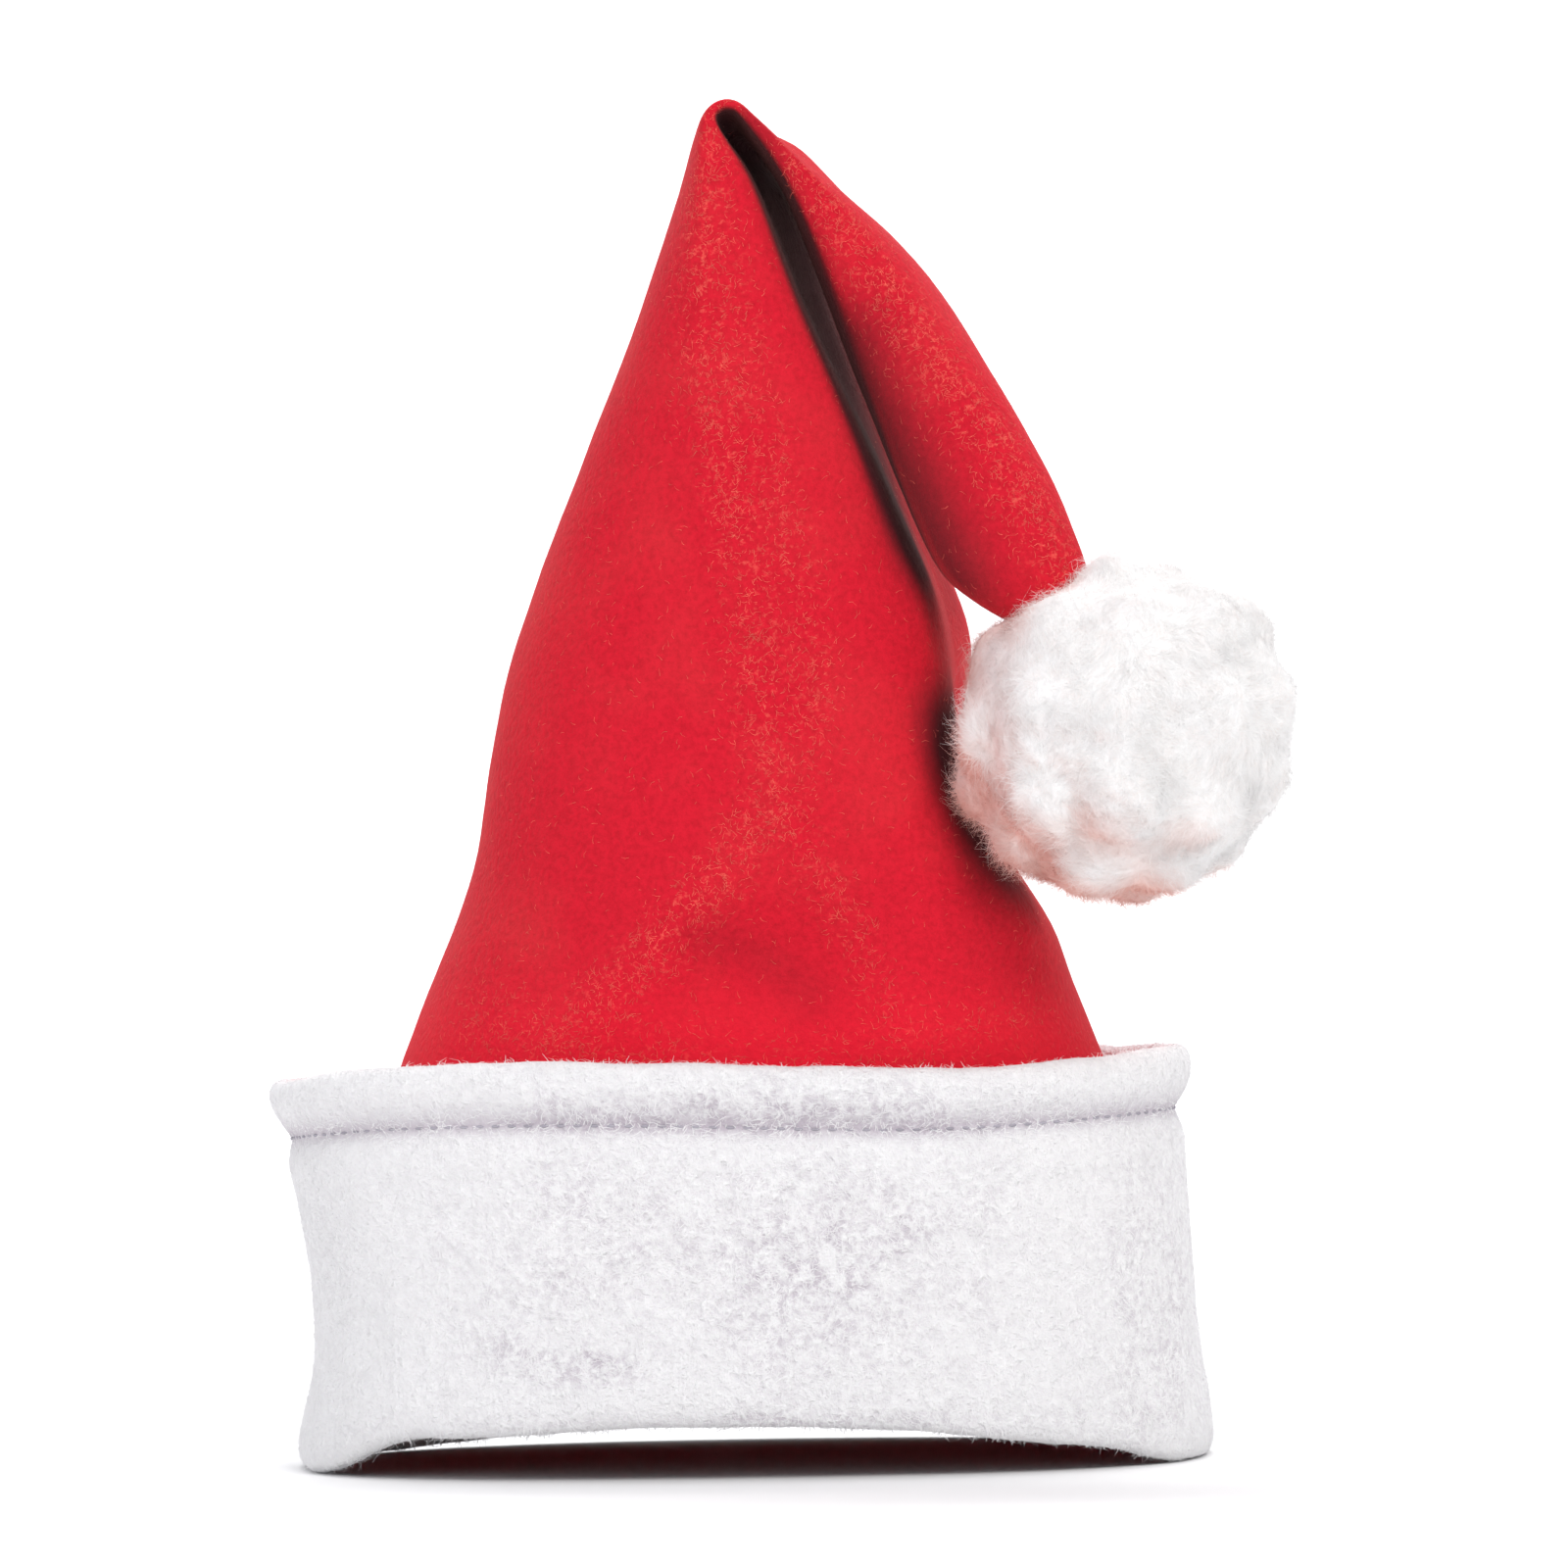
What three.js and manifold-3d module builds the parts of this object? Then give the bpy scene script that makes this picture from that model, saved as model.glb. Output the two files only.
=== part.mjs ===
// A felt Santa hat that stands on its turned-up cuff, in millimetres, +Z up.
// The origin is the centre of the head opening, on the surface that the cuff rests on.
// +X is the wearer's left, where the folded tail and its pompom hang, and -Y is the front.
import * as THREE from "three";
import { mergeVertices } from "three/addons/utils/BufferGeometryUtils.js";
import Module from "manifold-3d";

// Sizes of the whole hat
const HEAD_WIDTH = 216; // crown's lower edge, left to right
const HEAD_DEPTH = 154; // crown's lower edge, front to back
const PEAK_HEIGHT = 326.5; // surface to the front end of the ridge where the crown folds over
const CLEARANCE = 0.3; // between two pieces of cloth that touch

// Crown, a bag of red felt sewn from a front and a back panel
const FELT = 1.5;
const FOLD_PINCH = 0.7; // air left between the two layers pressed flat at the fold
const FOLD_HALF_LENGTH = 30; // half of the ridge along which the crown folds over
const FOLD_SHIFT = -1; // front end of the ridge, right of the head opening's middle
const FOLD_FORWARD = 0.07; // the ridge's middle lies forward, as a share of half its length
const FOLD_LEAN = 0.5; // how far the back half of the ridge bends to the right, per length
const FOLD_DROP = 0.16; // how far the ridge falls towards its back, per length
const DROP_START = 0.6; // where the crown's sections begin to tilt that way, as a share of the peak
const LEAN_EASE = 6; // the stretch in the middle over which that bend sets in
const SLOT_WIDTH = 5; // inside of the fold
const TAIL_LENGTH = 127; // fold to pompom
const TAIL_WIDTH = 37.4;
const TAIL_FALL = 31; // degrees from straight down

// Cuff, one band of white plush felt
const PLUSH = 2;
const CUFF_HEIGHT = 97;
const FRONT_LIFT = 13; // the front of the lower edge arches clear of the surface
const HEM_HEIGHT = 15; // rolled hem, above its line of stitches
const TURN_UP = 14; // inside leg, which holds the crown's edge
const SEAM_PLAY = 0.8; // loose room for the crown's edge between the two legs
const FOOT_WIDTH = 3; // strip of the lower fold that is pressed flat

// Pompom
const POMPOM_DIAMETER = 84;
const POMPOM_STRETCH = 1.075; // longer one way than across
const POMPOM_TURN = 35; // degrees from upright to right by which that way leans
const POMPOM_HANG = 1.302; // its middle along the tail, as a share of the tail's length
const POMPOM_SHIFT = -0.01; // and across the tail, as a share of the tail's width
const LOCK_COUNT = 34;
const LOCK_WIDTH = 26;
const LOCK_VARIATION = 0.05; // how much one lock reaches further than another, as a share of the radius
const HEAD_SHARE = 0.84; // round head under the locks, as a share of the radius
const POMPOM_REST = 1.2; // how far the pompom hangs clear of the crown's side

// Fineness of the faceted surfaces
const AROUND = 40;
const STATION_STEP = 18;
const LOCK_SIDES = 6;

// Fineness of what is found by trial
const HALVINGS = 30; // of the range that holds a section's width
const POMPOM_LEVELS = 20; // heights at which the pompom is held against the crown's side
const POMPOM_STEP = 0.25; // by which it is moved forward

const HALF_WIDTH = HEAD_WIDTH / 2;
const HALF_DEPTH = HEAD_DEPTH / 2;
const RED = new THREE.MeshStandardMaterial({ color: 0xdc2035, roughness: 0.95 });
const WHITE = new THREE.MeshStandardMaterial({ color: 0xf1eff1, roughness: 0.95 });
const FLEECE = new THREE.MeshStandardMaterial({ color: 0xfaf8f6, roughness: 1 });

// The cuff's outer face: how high, as a share of the cuff, and its reach as shares of the head's half width
// and half depth.
const CUFF_SECTIONS = [
  { up: 0, left: -1.008, right: 1.021, front: -1.03, back: 1.03 },
  { up: 0.07, left: -1.018, right: 1.034, front: -1.04, back: 1.03 },
  { up: 0.2, left: -0.98, right: 1.007, front: -1.01, back: 1.0 },
  { up: 0.32, left: -0.964, right: 0.994, front: -0.985, back: 0.98 },
  { up: 0.5, left: -0.976, right: 0.99, front: -0.98, back: 0.98 },
  { up: 0.68, left: -1.004, right: 0.978, front: -0.975, back: 0.985 },
  { up: 0.84, left: -1.022, right: 0.963, front: -0.975, back: 0.99 },
  { up: 1, left: -1.045, right: 0.966, front: -0.985, back: 1.0 },
];
const CUFF_SQUARE = 2.35; // 2 is an ellipse
const CUFF_ROWS = [0.13, 0.24, 0.4, 0.62]; // heights of the corners on both faces, as shares of the cuff

// The cuff's two edges by the turn round it in degrees, from the right by the back. Lift is how far the
// lower one arches up, as a share of the lift in front; rim is the upper one as a share of the cuff's height.
const CUFF_EDGES = [
  { turn: 0, lift: 0, rim: 1.01 },
  { turn: 30, lift: 0, rim: 1 },
  { turn: 60, lift: 0.14, rim: 0.995 },
  { turn: 90, lift: 0.31, rim: 0.98 },
  { turn: 120, lift: 0.2, rim: 0.965 },
  { turn: 150, lift: 0, rim: 0.955 },
  { turn: 180, lift: 0, rim: 0.96 },
  { turn: 200, lift: 0, rim: 0.965 },
  { turn: 208, lift: 0.24, rim: 0.987 },
  { turn: 218, lift: 0.64, rim: 1 },
  { turn: 225, lift: 0.8, rim: 1.005 },
  { turn: 231, lift: 0.75, rim: 1.01 },
  { turn: 240, lift: 0.83, rim: 1.015 },
  { turn: 252, lift: 0.96, rim: 1.019 },
  { turn: 264, lift: 1, rim: 1.012 },
  { turn: 283, lift: 0.88, rim: 0.995 },
  { turn: 300, lift: 0.64, rim: 0.986 },
  { turn: 320, lift: 0.36, rim: 1.003 },
  { turn: 337, lift: 0.03, rim: 1.014 },
  { turn: 360, lift: 0, rim: 1.01 },
];

// The hem: how high above the stitches, as a share of the hem, how far it bulges out and how thick the
// roll is, both as shares of the plush's thickness.
const HEM_SECTIONS = [
  { rise: -0.3, bulge: 0, roll: 2.15 },
  { rise: 0, bulge: -0.45, roll: 2.15 },
  { rise: 0.4, bulge: 0.55, roll: 3.1 },
  { rise: 0.85, bulge: 1.15, roll: 3.6 },
];
const HEM_CREST = 0.6; // half of the flat along the hem's top, as a share of the plush's thickness

// The crown above the cuff's waist: how high, as a share of the peak, and how far its outline reaches, as
// shares of the head's half width and half depth; lean is how far the back half bends to the right, per
// depth. A section is an ellipse at square 2, and crisp is the same for the quarter with the sharp edge on
// the slot's side.
const CROWN_SECTIONS = [
  { up: 0.149, left: -0.9, right: 0.92, front: -0.92, back: 0.93, lean: 0, square: 2.3, crisp: 2.3 },
  { up: 0.209, left: -0.86, right: 0.885, front: -0.87, back: 0.89, lean: 0, square: 2.3, crisp: 2.3 },
  { up: 0.284, left: -0.782, right: 0.81, front: -0.82, back: 0.84, lean: 0, square: 2.3, crisp: 2.3 },
  { up: 0.352, left: -0.702, right: 0.721, front: -0.77, back: 0.8, lean: 0, square: 2.3, crisp: 2.6 },
  { up: 0.39, left: -0.652, right: 0.695, front: -0.74, back: 0.77, lean: 0, square: 2.3, crisp: 4 },
  { up: 0.438, left: -0.594, right: 0.59, front: -0.7, back: 0.73, lean: 0, square: 2.3, crisp: 5 },
  { up: 0.488, left: -0.577, right: 0.52, front: -0.67, back: 0.7, lean: 0.12, square: 2.3, crisp: 6 },
  { up: 0.532, left: -0.556, right: 0.485, front: -0.64, back: 0.67, lean: 0.16, square: 2.3, crisp: 6 },
  { up: 0.584, left: -0.528, right: 0.53, front: -0.61, back: 0.64, lean: 0.48, square: 2.3, crisp: 6 },
  { up: 0.628, left: -0.479, right: 0.5, front: -0.58, back: 0.61, lean: 0.44, square: 2.3, crisp: 6 },
  { up: 0.667, left: -0.435, right: 0.444, front: -0.56, back: 0.58, lean: 0.42, square: 2.3, crisp: 6 },
  { up: 0.765, left: -0.311, right: 0.325, front: -0.52, back: 0.52, lean: 0.46, square: 2.4, crisp: 6 },
  { up: 0.843, left: -0.214, right: 0.228, front: -0.49, back: 0.46, lean: 0.48, square: 2.5, crisp: 6 },
  { up: 0.911, left: -0.138, right: 0.168, front: -0.455, back: 0.41, lean: 0.49, square: 2.6, crisp: 5 },
  { up: 0.94, left: -0.11, right: 0.14, front: -0.435, back: 0.39, lean: 0.5, square: 2.7, crisp: 4.5 },
];

// Round the fold: the turn of a section about the slot in degrees, and how thick the two layers are there,
// as a share of their thickness where they are pressed flat.
const FOLD_SECTIONS = [
  { turn: 180, thick: 1.5 },
  { turn: 138, thick: 1.15 },
  { turn: 96, thick: 1 },
  { turn: 60, thick: 1 },
  { turn: TAIL_FALL, thick: 1.1 },
];
const FOLD_SQUARE = 2.8;
const FOLD_CRISP = 3.6;

// The tail: how far along it, the two sides of a section from the line that it hangs along, as shares of
// the tail's width, its half depth as a share of the fold's half length, how far it has come forward, and
// its shape.
const TAIL_SECTIONS = [
  { along: 0.09, slot: -0.045, side: 0.13, deep: 0.96, forward: 0.02, lean: 0.9, square: 2.6, crisp: 4 },
  { along: 0.2, slot: -0.115, side: 0.31, deep: 0.9, forward: 0.06, lean: 0.75, square: 2.4, crisp: 4 },
  { along: 0.37, slot: -0.225, side: 0.47, deep: 0.81, forward: 0.18, lean: 0.5, square: 2.3, crisp: 3.5 },
  { along: 0.55, slot: -0.33, side: 0.47, deep: 0.71, forward: 0.38, lean: 0.3, square: 2.2, crisp: 2.6 },
  { along: 0.72, slot: -0.435, side: 0.462, deep: 0.6, forward: 0.58, lean: 0.12, square: 2.2, crisp: 2.3 },
  { along: 0.85, slot: -0.495, side: 0.44, deep: 0.52, forward: 0.74, lean: 0, square: 2.1, crisp: 2.2 },
  { along: 0.92, slot: -0.45, side: 0.38, deep: 0.44, forward: 0.82, lean: 0, square: 2, crisp: 2 },
  { along: 1.0, slot: -0.32, side: 0.33, deep: 0.34, forward: 0.9, lean: 0, square: 2, crisp: 2 },
  { along: 1.06, slot: -0.17, side: 0.24, deep: 0.22, forward: 0.95, lean: 0, square: 2, crisp: 2 },
  { along: 1.1, slot: -0.05, side: 0.15, deep: 0.14, forward: 0.98, lean: 0, square: 2, crisp: 2 },
];

// Where along the tail the pompom takes it in, as a share of its length.
const POCKET_START = 0.86;

// Dents and ridges pressed into the crown's front: height as a share of the peak, the turn round the
// section in degrees (270 is the front), the turn that it slants by over its own height, its half height
// and half turn, and its depth as a share of the head's half depth.
const CROWN_DENTS = [
  { name: "hollow above the cuff", up: 0.37, turn: 273, slant: 0, tall: 0.055, wide: 13, out: -0.125 },
  { name: "ridge left of the hollow", up: 0.39, turn: 259, slant: 14, tall: 0.07, wide: 8, out: 0.055 },
  { name: "ridge right of the hollow", up: 0.38, turn: 290, slant: -7, tall: 0.07, wide: 8, out: 0.05 },
  { name: "soft nose down the front", up: 0.66, turn: 275, slant: -11, tall: 0.16, wide: 17, out: 0.045 },
  { name: "waist at the back", up: 0.44, turn: 90, slant: 0, tall: 0.07, wide: 40, out: -0.04 },
];

// One lock of fleece, from its root outwards: half its width and how far out, as shares of the lock's own.
const LOCK_PROFILE = [
  { wide: 0, out: 0 },
  { wide: 0.55, out: 0.3 },
  { wide: 1, out: 0.66 },
  { wide: 0.86, out: 0.86 },
  { wide: 0.45, out: 0.97 },
  { wide: 0, out: 1 },
];

// A smooth curve through a table's rows: gives every column at one value of the column that orders it.
function through(rows, order) {
  const columns = Object.keys(rows[0]).filter((column) => column !== order && column !== "name");
  const at = Float32Array.from(rows, (row) => row[order]);
  const values = Float32Array.from(rows.flatMap((row) => columns.map((column) => row[column])));
  const curve = new THREE.CubicInterpolant(at, values, columns.length);
  return (where) => {
    const found = curve.evaluate(THREE.MathUtils.clamp(where, at[0], at[at.length - 1]));
    return Object.fromEntries(columns.map((column, k) => [column, found[k]]));
  };
}

// The point at a turn round a rounded section one unit wide and deep.
function unitSection(turn, square) {
  const rounded = (value) => Math.sign(value) * Math.abs(value) ** (2 / square);
  return { across: rounded(Math.cos(turn)), deep: rounded(Math.sin(turn)) };
}

// A closed surface through rings of points. Its ends are closed in one of three ways: "joined", where the
// last ring meets the first; "fans" over both end rings; or "strips", where each ring runs out along one
// face and back along another, and a strip at each end lies between the two.
function skinThrough(rings, ends) {
  const size = rings[0].length;
  const points = rings.flat();
  const faces = [];
  const bands = ends === "joined" ? rings.length : rings.length - 1;
  for (let band = 0; band < bands; band++) {
    const low = band * size;
    const high = ((band + 1) % rings.length) * size;
    for (let k = 0; k < size; k++) {
      const next = (k + 1) % size;
      faces.push(low + k, low + next, high + next, low + k, high + next, high + k);
    }
  }
  const last = (rings.length - 1) * size;
  if (ends === "fans") {
    const start = points.push(centreOf(rings[0])) - 1;
    const end = points.push(centreOf(rings[rings.length - 1])) - 1;
    for (let k = 0; k < size; k++) {
      const next = (k + 1) % size;
      faces.push(start, next, k, end, last + k, last + next);
    }
  }
  if (ends === "strips") {
    for (let k = 0; k + 1 < size / 2; k++) {
      const [near, next, farNext, far] = [k, k + 1, size - 2 - k, size - 1 - k];
      faces.push(next, near, far, next, far, farNext);
      faces.push(last + near, last + next, last + farNext, last + near, last + farNext, last + far);
    }
  }
  return new THREE.BufferGeometry().setFromPoints(points).setIndex(faces);
}

function centreOf(ring) {
  return ring.reduce((sum, point) => sum.add(point), new THREE.Vector3()).divideScalar(ring.length);
}

const TURNS = Array.from({ length: AROUND }, (_, k) => (k / AROUND) * 2 * Math.PI);

const cuffEdges = through(CUFF_EDGES, "turn");
const liftAt = (turn) => Math.max(0, FRONT_LIFT * cuffEdges(THREE.MathUtils.radToDeg(turn)).lift);
const rimAt = (turn) => CUFF_HEIGHT * cuffEdges(THREE.MathUtils.radToDeg(turn)).rim;

const cuffSection = through(CUFF_SECTIONS, "up");

// A point of the cuff at a share of its height, moved in from the outer face.
function cuffPoint(turn, up, inset) {
  const reach = cuffSection(up);
  const { across, deep } = unitSection(turn, CUFF_SQUARE);
  const halfWidth = ((reach.right - reach.left) / 2) * HALF_WIDTH - inset;
  const halfDepth = ((reach.back - reach.front) / 2) * HALF_DEPTH - inset;
  return new THREE.Vector3(
    ((reach.right + reach.left) / 2) * HALF_WIDTH + across * halfWidth,
    ((reach.back + reach.front) / 2) * HALF_DEPTH + deep * halfDepth,
    THREE.MathUtils.lerp(liftAt(turn), rimAt(turn), up),
  );
}

const LEG_FACE = 2 * PLUSH + FELT + 2 * CLEARANCE + SEAM_PLAY; // inside face of the leg, from the outer face
const EDGE_HEIGHT = PLUSH + CLEARANCE; // crown's edge, above the foot

// The band's cross-section: round the outside, over the rolled hem, down its flap, back up inside the
// roll, down the hidden face, through the channel for the crown's edge and round the inside leg.
function cuffSlice(turn) {
  const tall = rimAt(turn) - liftAt(turn);
  const seam = 1 - HEM_HEIGHT / tall;
  const point = (up, inset, rise = 0) => cuffPoint(turn, up, inset).add(new THREE.Vector3(0, 0, rise));
  const hemUp = (rise) => seam + (1 - seam) * rise;
  const low = (height) => height / tall;
  const corner = (LEG_FACE - FOOT_WIDTH) / 2;
  const outside = [low(2 * corner), ...CUFF_ROWS].map((up) => point(up, 0));
  const hemOut = HEM_SECTIONS.map(({ rise, bulge }) => point(hemUp(rise), -bulge * PLUSH));
  const flap = HEM_SECTIONS.map(({ rise, bulge, roll }) => point(hemUp(rise), (roll - bulge) * PLUSH));
  const flapBack = HEM_SECTIONS.map((row) => point(hemUp(row.rise), (row.roll - row.bulge - 1) * PLUSH));
  const hidden = HEM_SECTIONS.map(({ rise, bulge }) => point(hemUp(rise), (1 - bulge) * PLUSH));
  const crest = HEM_SECTIONS[HEM_SECTIONS.length - 1];
  const crestMiddle = (crest.roll / 2 - crest.bulge) * PLUSH;
  const overTop = [point(1, crestMiddle - HEM_CREST * PLUSH), point(1, crestMiddle + HEM_CREST * PLUSH)];
  const underTop = [point(1, crestMiddle, -PLUSH)];
  const inside = CUFF_ROWS.map((up) => point(up, PLUSH)).reverse();
  const channel = [
    point(low(EDGE_HEIGHT), PLUSH, -CLEARANCE),
    point(low(EDGE_HEIGHT), LEG_FACE - PLUSH, -CLEARANCE),
    point(low(TURN_UP), LEG_FACE - PLUSH),
    point(low(TURN_UP), LEG_FACE),
    point(low(2 * corner), LEG_FACE),
  ];
  // The strip that rests on the surface, with one bevelled corner on each side of it
  const foot = [
    point(low(corner / 2), LEG_FACE - corner / 3),
    point(0, LEG_FACE - corner),
    point(0, corner),
    point(low(corner / 2), corner / 3),
  ];
  return [
    ...outside, ...hemOut, ...overTop, ...flap.reverse(), ...flapBack, ...underTop, ...hidden.reverse(),
    ...inside, ...channel, ...foot,
  ];
}

// The crown's rows inside the cuff follow the cuff's own face, so that the edge keeps its clearance there.
function seatSections() {
  const edge = EDGE_HEIGHT / CUFF_HEIGHT;
  return [
    { up: edge, slack: SEAM_PLAY / 2 },
    { up: 0.16, slack: SEAM_PLAY / 2 },
    { up: 0.32, slack: 2 * SEAM_PLAY },
  ].map(({ up, slack }) => {
    const reach = cuffSection(up);
    const inset = PLUSH + CLEARANCE + slack;
    return {
      slotX: reach.right * HALF_WIDTH - inset, slotZ: up * CUFF_HEIGHT,
      sideX: reach.left * HALF_WIDTH + inset, sideZ: up * CUFF_HEIGHT,
      front: reach.front * HALF_DEPTH + inset, back: reach.back * HALF_DEPTH - inset,
      lean: 0, drop: 0, square: CUFF_SQUARE, crisp: CUFF_SQUARE,
    };
  });
}

// Half width of a section before its back half is bent over, where the outline with it has a given width.
function beforeLean(width, lean, square) {
  const power = square / (square - 1);
  let low = 0;
  let high = width / 2;
  for (let k = 0; k < HALVINGS; k++) {
    const half = (low + high) / 2;
    if (half + (half ** power + lean ** power) ** (1 / power) > width) high = half;
    else low = half;
  }
  return low;
}

function bodySections() {
  return CROWN_SECTIONS.map(({ up, left, right, front, back, lean, square, crisp }) => {
    const halfDepth = ((back - front) / 2) * HALF_DEPTH;
    const half = beforeLean((right - left) * HALF_WIDTH, lean * halfDepth, square);
    return {
      slotX: left * HALF_WIDTH + 2 * half, slotZ: up * PEAK_HEIGHT,
      sideX: left * HALF_WIDTH, sideZ: up * PEAK_HEIGHT,
      front: front * HALF_DEPTH, back: back * HALF_DEPTH,
      lean, drop: FOLD_DROP * Math.max(0, (up - DROP_START) / (1 - DROP_START)) ** 2, square, crisp,
    };
  });
}

const FOLD_THICK = 2 * FELT + FOLD_PINCH;
const foldCentre = {
  x: FOLD_SHIFT,
  z: PEAK_HEIGHT - FOLD_THICK - SLOT_WIDTH / 2 - FOLD_DROP * FOLD_HALF_LENGTH,
};

// Round the fold the two layers are pressed together; the sections turn about the slot, from crown to tail.
function foldSections() {
  return FOLD_SECTIONS.map(({ turn, thick }) => {
    const toward = THREE.MathUtils.degToRad(turn);
    const inner = SLOT_WIDTH / 2;
    const outer = inner + FOLD_THICK * thick;
    return {
      slotX: foldCentre.x + inner * Math.cos(toward), slotZ: foldCentre.z + inner * Math.sin(toward),
      sideX: foldCentre.x + outer * Math.cos(toward), sideZ: foldCentre.z + outer * Math.sin(toward),
      front: -FOLD_HALF_LENGTH * (1 + FOLD_FORWARD), back: FOLD_HALF_LENGTH * (1 - FOLD_FORWARD),
      lean: FOLD_LEAN, drop: FOLD_DROP, square: FOLD_SQUARE, crisp: FOLD_CRISP,
    };
  });
}

// The line that the tail hangs along starts at the middle of the bent ridge.
const fall = THREE.MathUtils.degToRad(TAIL_FALL);
const TAIL_DOWN = new THREE.Vector2(Math.sin(fall), -Math.cos(fall));
const TAIL_ACROSS = new THREE.Vector2(Math.cos(fall), Math.sin(fall));
const tailRoot = new THREE.Vector2(foldCentre.x + (FOLD_LEAN * FOLD_HALF_LENGTH) / 2, foldCentre.z);
const tailLine = (along, across) => tailRoot.clone()
  .addScaledVector(TAIL_DOWN, along * TAIL_LENGTH)
  .addScaledVector(TAIL_ACROSS, across * TAIL_WIDTH);

function tailSections(forward) {
  return TAIL_SECTIONS.map((row) => {
    const slot = tailLine(row.along, row.slot);
    const side = tailLine(row.along, row.side);
    const middle = -FOLD_FORWARD * FOLD_HALF_LENGTH + row.forward * forward;
    const deep = row.deep * FOLD_HALF_LENGTH;
    return {
      slotX: slot.x, slotZ: slot.y, sideX: side.x, sideZ: side.y, front: middle - deep, back: middle + deep,
      lean: row.lean * FOLD_LEAN, drop: row.lean * FOLD_DROP, square: row.square, crisp: row.crisp,
    };
  });
}

// How far the bend in a section's back half moves a point at a depth to the right, for a lean of 1.
const bendAt = (depth) => (depth + Math.hypot(depth, LEAN_EASE)) / 2;

// A point of a section at a turn round it, in the section's own plane: across from its middle, and in
// depth.
function sectionPoint(row, turn, halfWidth, inset) {
  const onCrispQuarter = Math.sin(turn) < 0 && Math.cos(turn) > 0;
  const { across, deep } = unitSection(turn, onCrispQuarter ? row.crisp : row.square);
  return { width: across * (halfWidth - inset), depth: deep * ((row.back - row.front) / 2 - inset) };
}

// Where the pompom hangs: past the tail's end, and so far forward that it clears the crown's side.
const pompomAcross = tailLine(POMPOM_HANG, POMPOM_SHIFT);
function pompomForward() {
  const body = through(bodySections().map((row) => ({ ...row, height: row.slotZ })), "height");
  const reach = POMPOM_DIAMETER / 2 + POMPOM_REST;
  const touches = (forward) => {
    for (let k = 1; k < POMPOM_LEVELS; k++) {
      const level = (2 * k) / POMPOM_LEVELS - 1;
      const row = body(pompomAcross.y + level * reach);
      const radius = reach * Math.sqrt(1 - level * level);
      for (const turn of TURNS) {
        const { width, depth } = sectionPoint(row, turn, (row.slotX - row.sideX) / 2, 0);
        const x = (row.slotX + row.sideX) / 2 + width + row.lean * bendAt(depth);
        const y = (row.back + row.front) / 2 + depth;
        if (Math.hypot(x - pompomAcross.x, y + forward) < radius) return true;
      }
    }
    return false;
  };
  let forward = 0;
  while (touches(forward)) forward += POMPOM_STEP;
  return forward;
}
const POMPOM_CENTRE = new THREE.Vector3(pompomAcross.x, -pompomForward(), pompomAcross.y);

// The crown's sections from its edge, up over the fold and down to the tail's tip, evenly close together.
function crownStations() {
  const rows = [...seatSections(), ...bodySections(), ...foldSections(), ...tailSections(POMPOM_CENTRE.y)];
  const middle = (row) => new THREE.Vector3(
    (row.slotX + row.sideX) / 2, (row.front + row.back) / 2, (row.slotZ + row.sideZ) / 2);
  rows[0].path = 0;
  for (let k = 1; k < rows.length; k++) {
    rows[k].path = rows[k - 1].path + middle(rows[k]).distanceTo(middle(rows[k - 1]));
  }
  const station = through(rows, "path");
  const stations = [];
  for (let k = 0; k + 1 < rows.length; k++) {
    const length = rows[k + 1].path - rows[k].path;
    const steps = Math.max(1, Math.round(length / STATION_STEP));
    for (let step = 0; step < steps; step++) stations.push(station(rows[k].path + (step / steps) * length));
  }
  stations.push(station(rows[rows.length - 1].path));
  return stations;
}

// How far the dents push the crown's face out at a height and a turn.
function dentAt(height, turn) {
  const degrees = THREE.MathUtils.radToDeg(turn);
  return CROWN_DENTS.reduce((sum, dent) => {
    const above = (height / PEAK_HEIGHT - dent.up) / dent.tall;
    const aside = (degrees - dent.turn - dent.slant * above) / dent.wide;
    return sum + dent.out * HALF_DEPTH * Math.exp(-above * above - aside * aside);
  }, 0);
}

// A ring of the crown round one station, moved in from the outer face.
function crownRing(row, inset, body) {
  const side = new THREE.Vector2(row.sideX, row.sideZ);
  const toSlot = new THREE.Vector2(row.slotX, row.slotZ).sub(side);
  const halfWidth = toSlot.length() / 2;
  toSlot.normalize();
  return TURNS.map((turn) => {
    const point = sectionPoint(row, turn, halfWidth, inset);
    const dent = body ? dentAt(row.slotZ, turn) : 0;
    const width = point.width + dent * Math.cos(turn);
    const depth = point.depth + dent * Math.sin(turn);
    const aboveEdge = (row.slotZ - EDGE_HEIGHT) / (CUFF_HEIGHT - EDGE_HEIGHT);
    const edgeLift = body ? liftAt(turn) * Math.max(0, 1 - aboveEdge) : 0;
    return new THREE.Vector3(
      side.x + toSlot.x * (halfWidth + width) + row.lean * bendAt(depth),
      (row.back + row.front) / 2 + depth,
      side.y + toSlot.y * (halfWidth + width) - row.drop * depth + edgeLift,
    );
  });
}

// The station at the top of the fold, between the crown's body and its tail.
function ridgeOf(stations) {
  return stations.reduce((best, row, k) => (row.sideZ > stations[best].sideZ ? k : best), 0);
}

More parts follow.
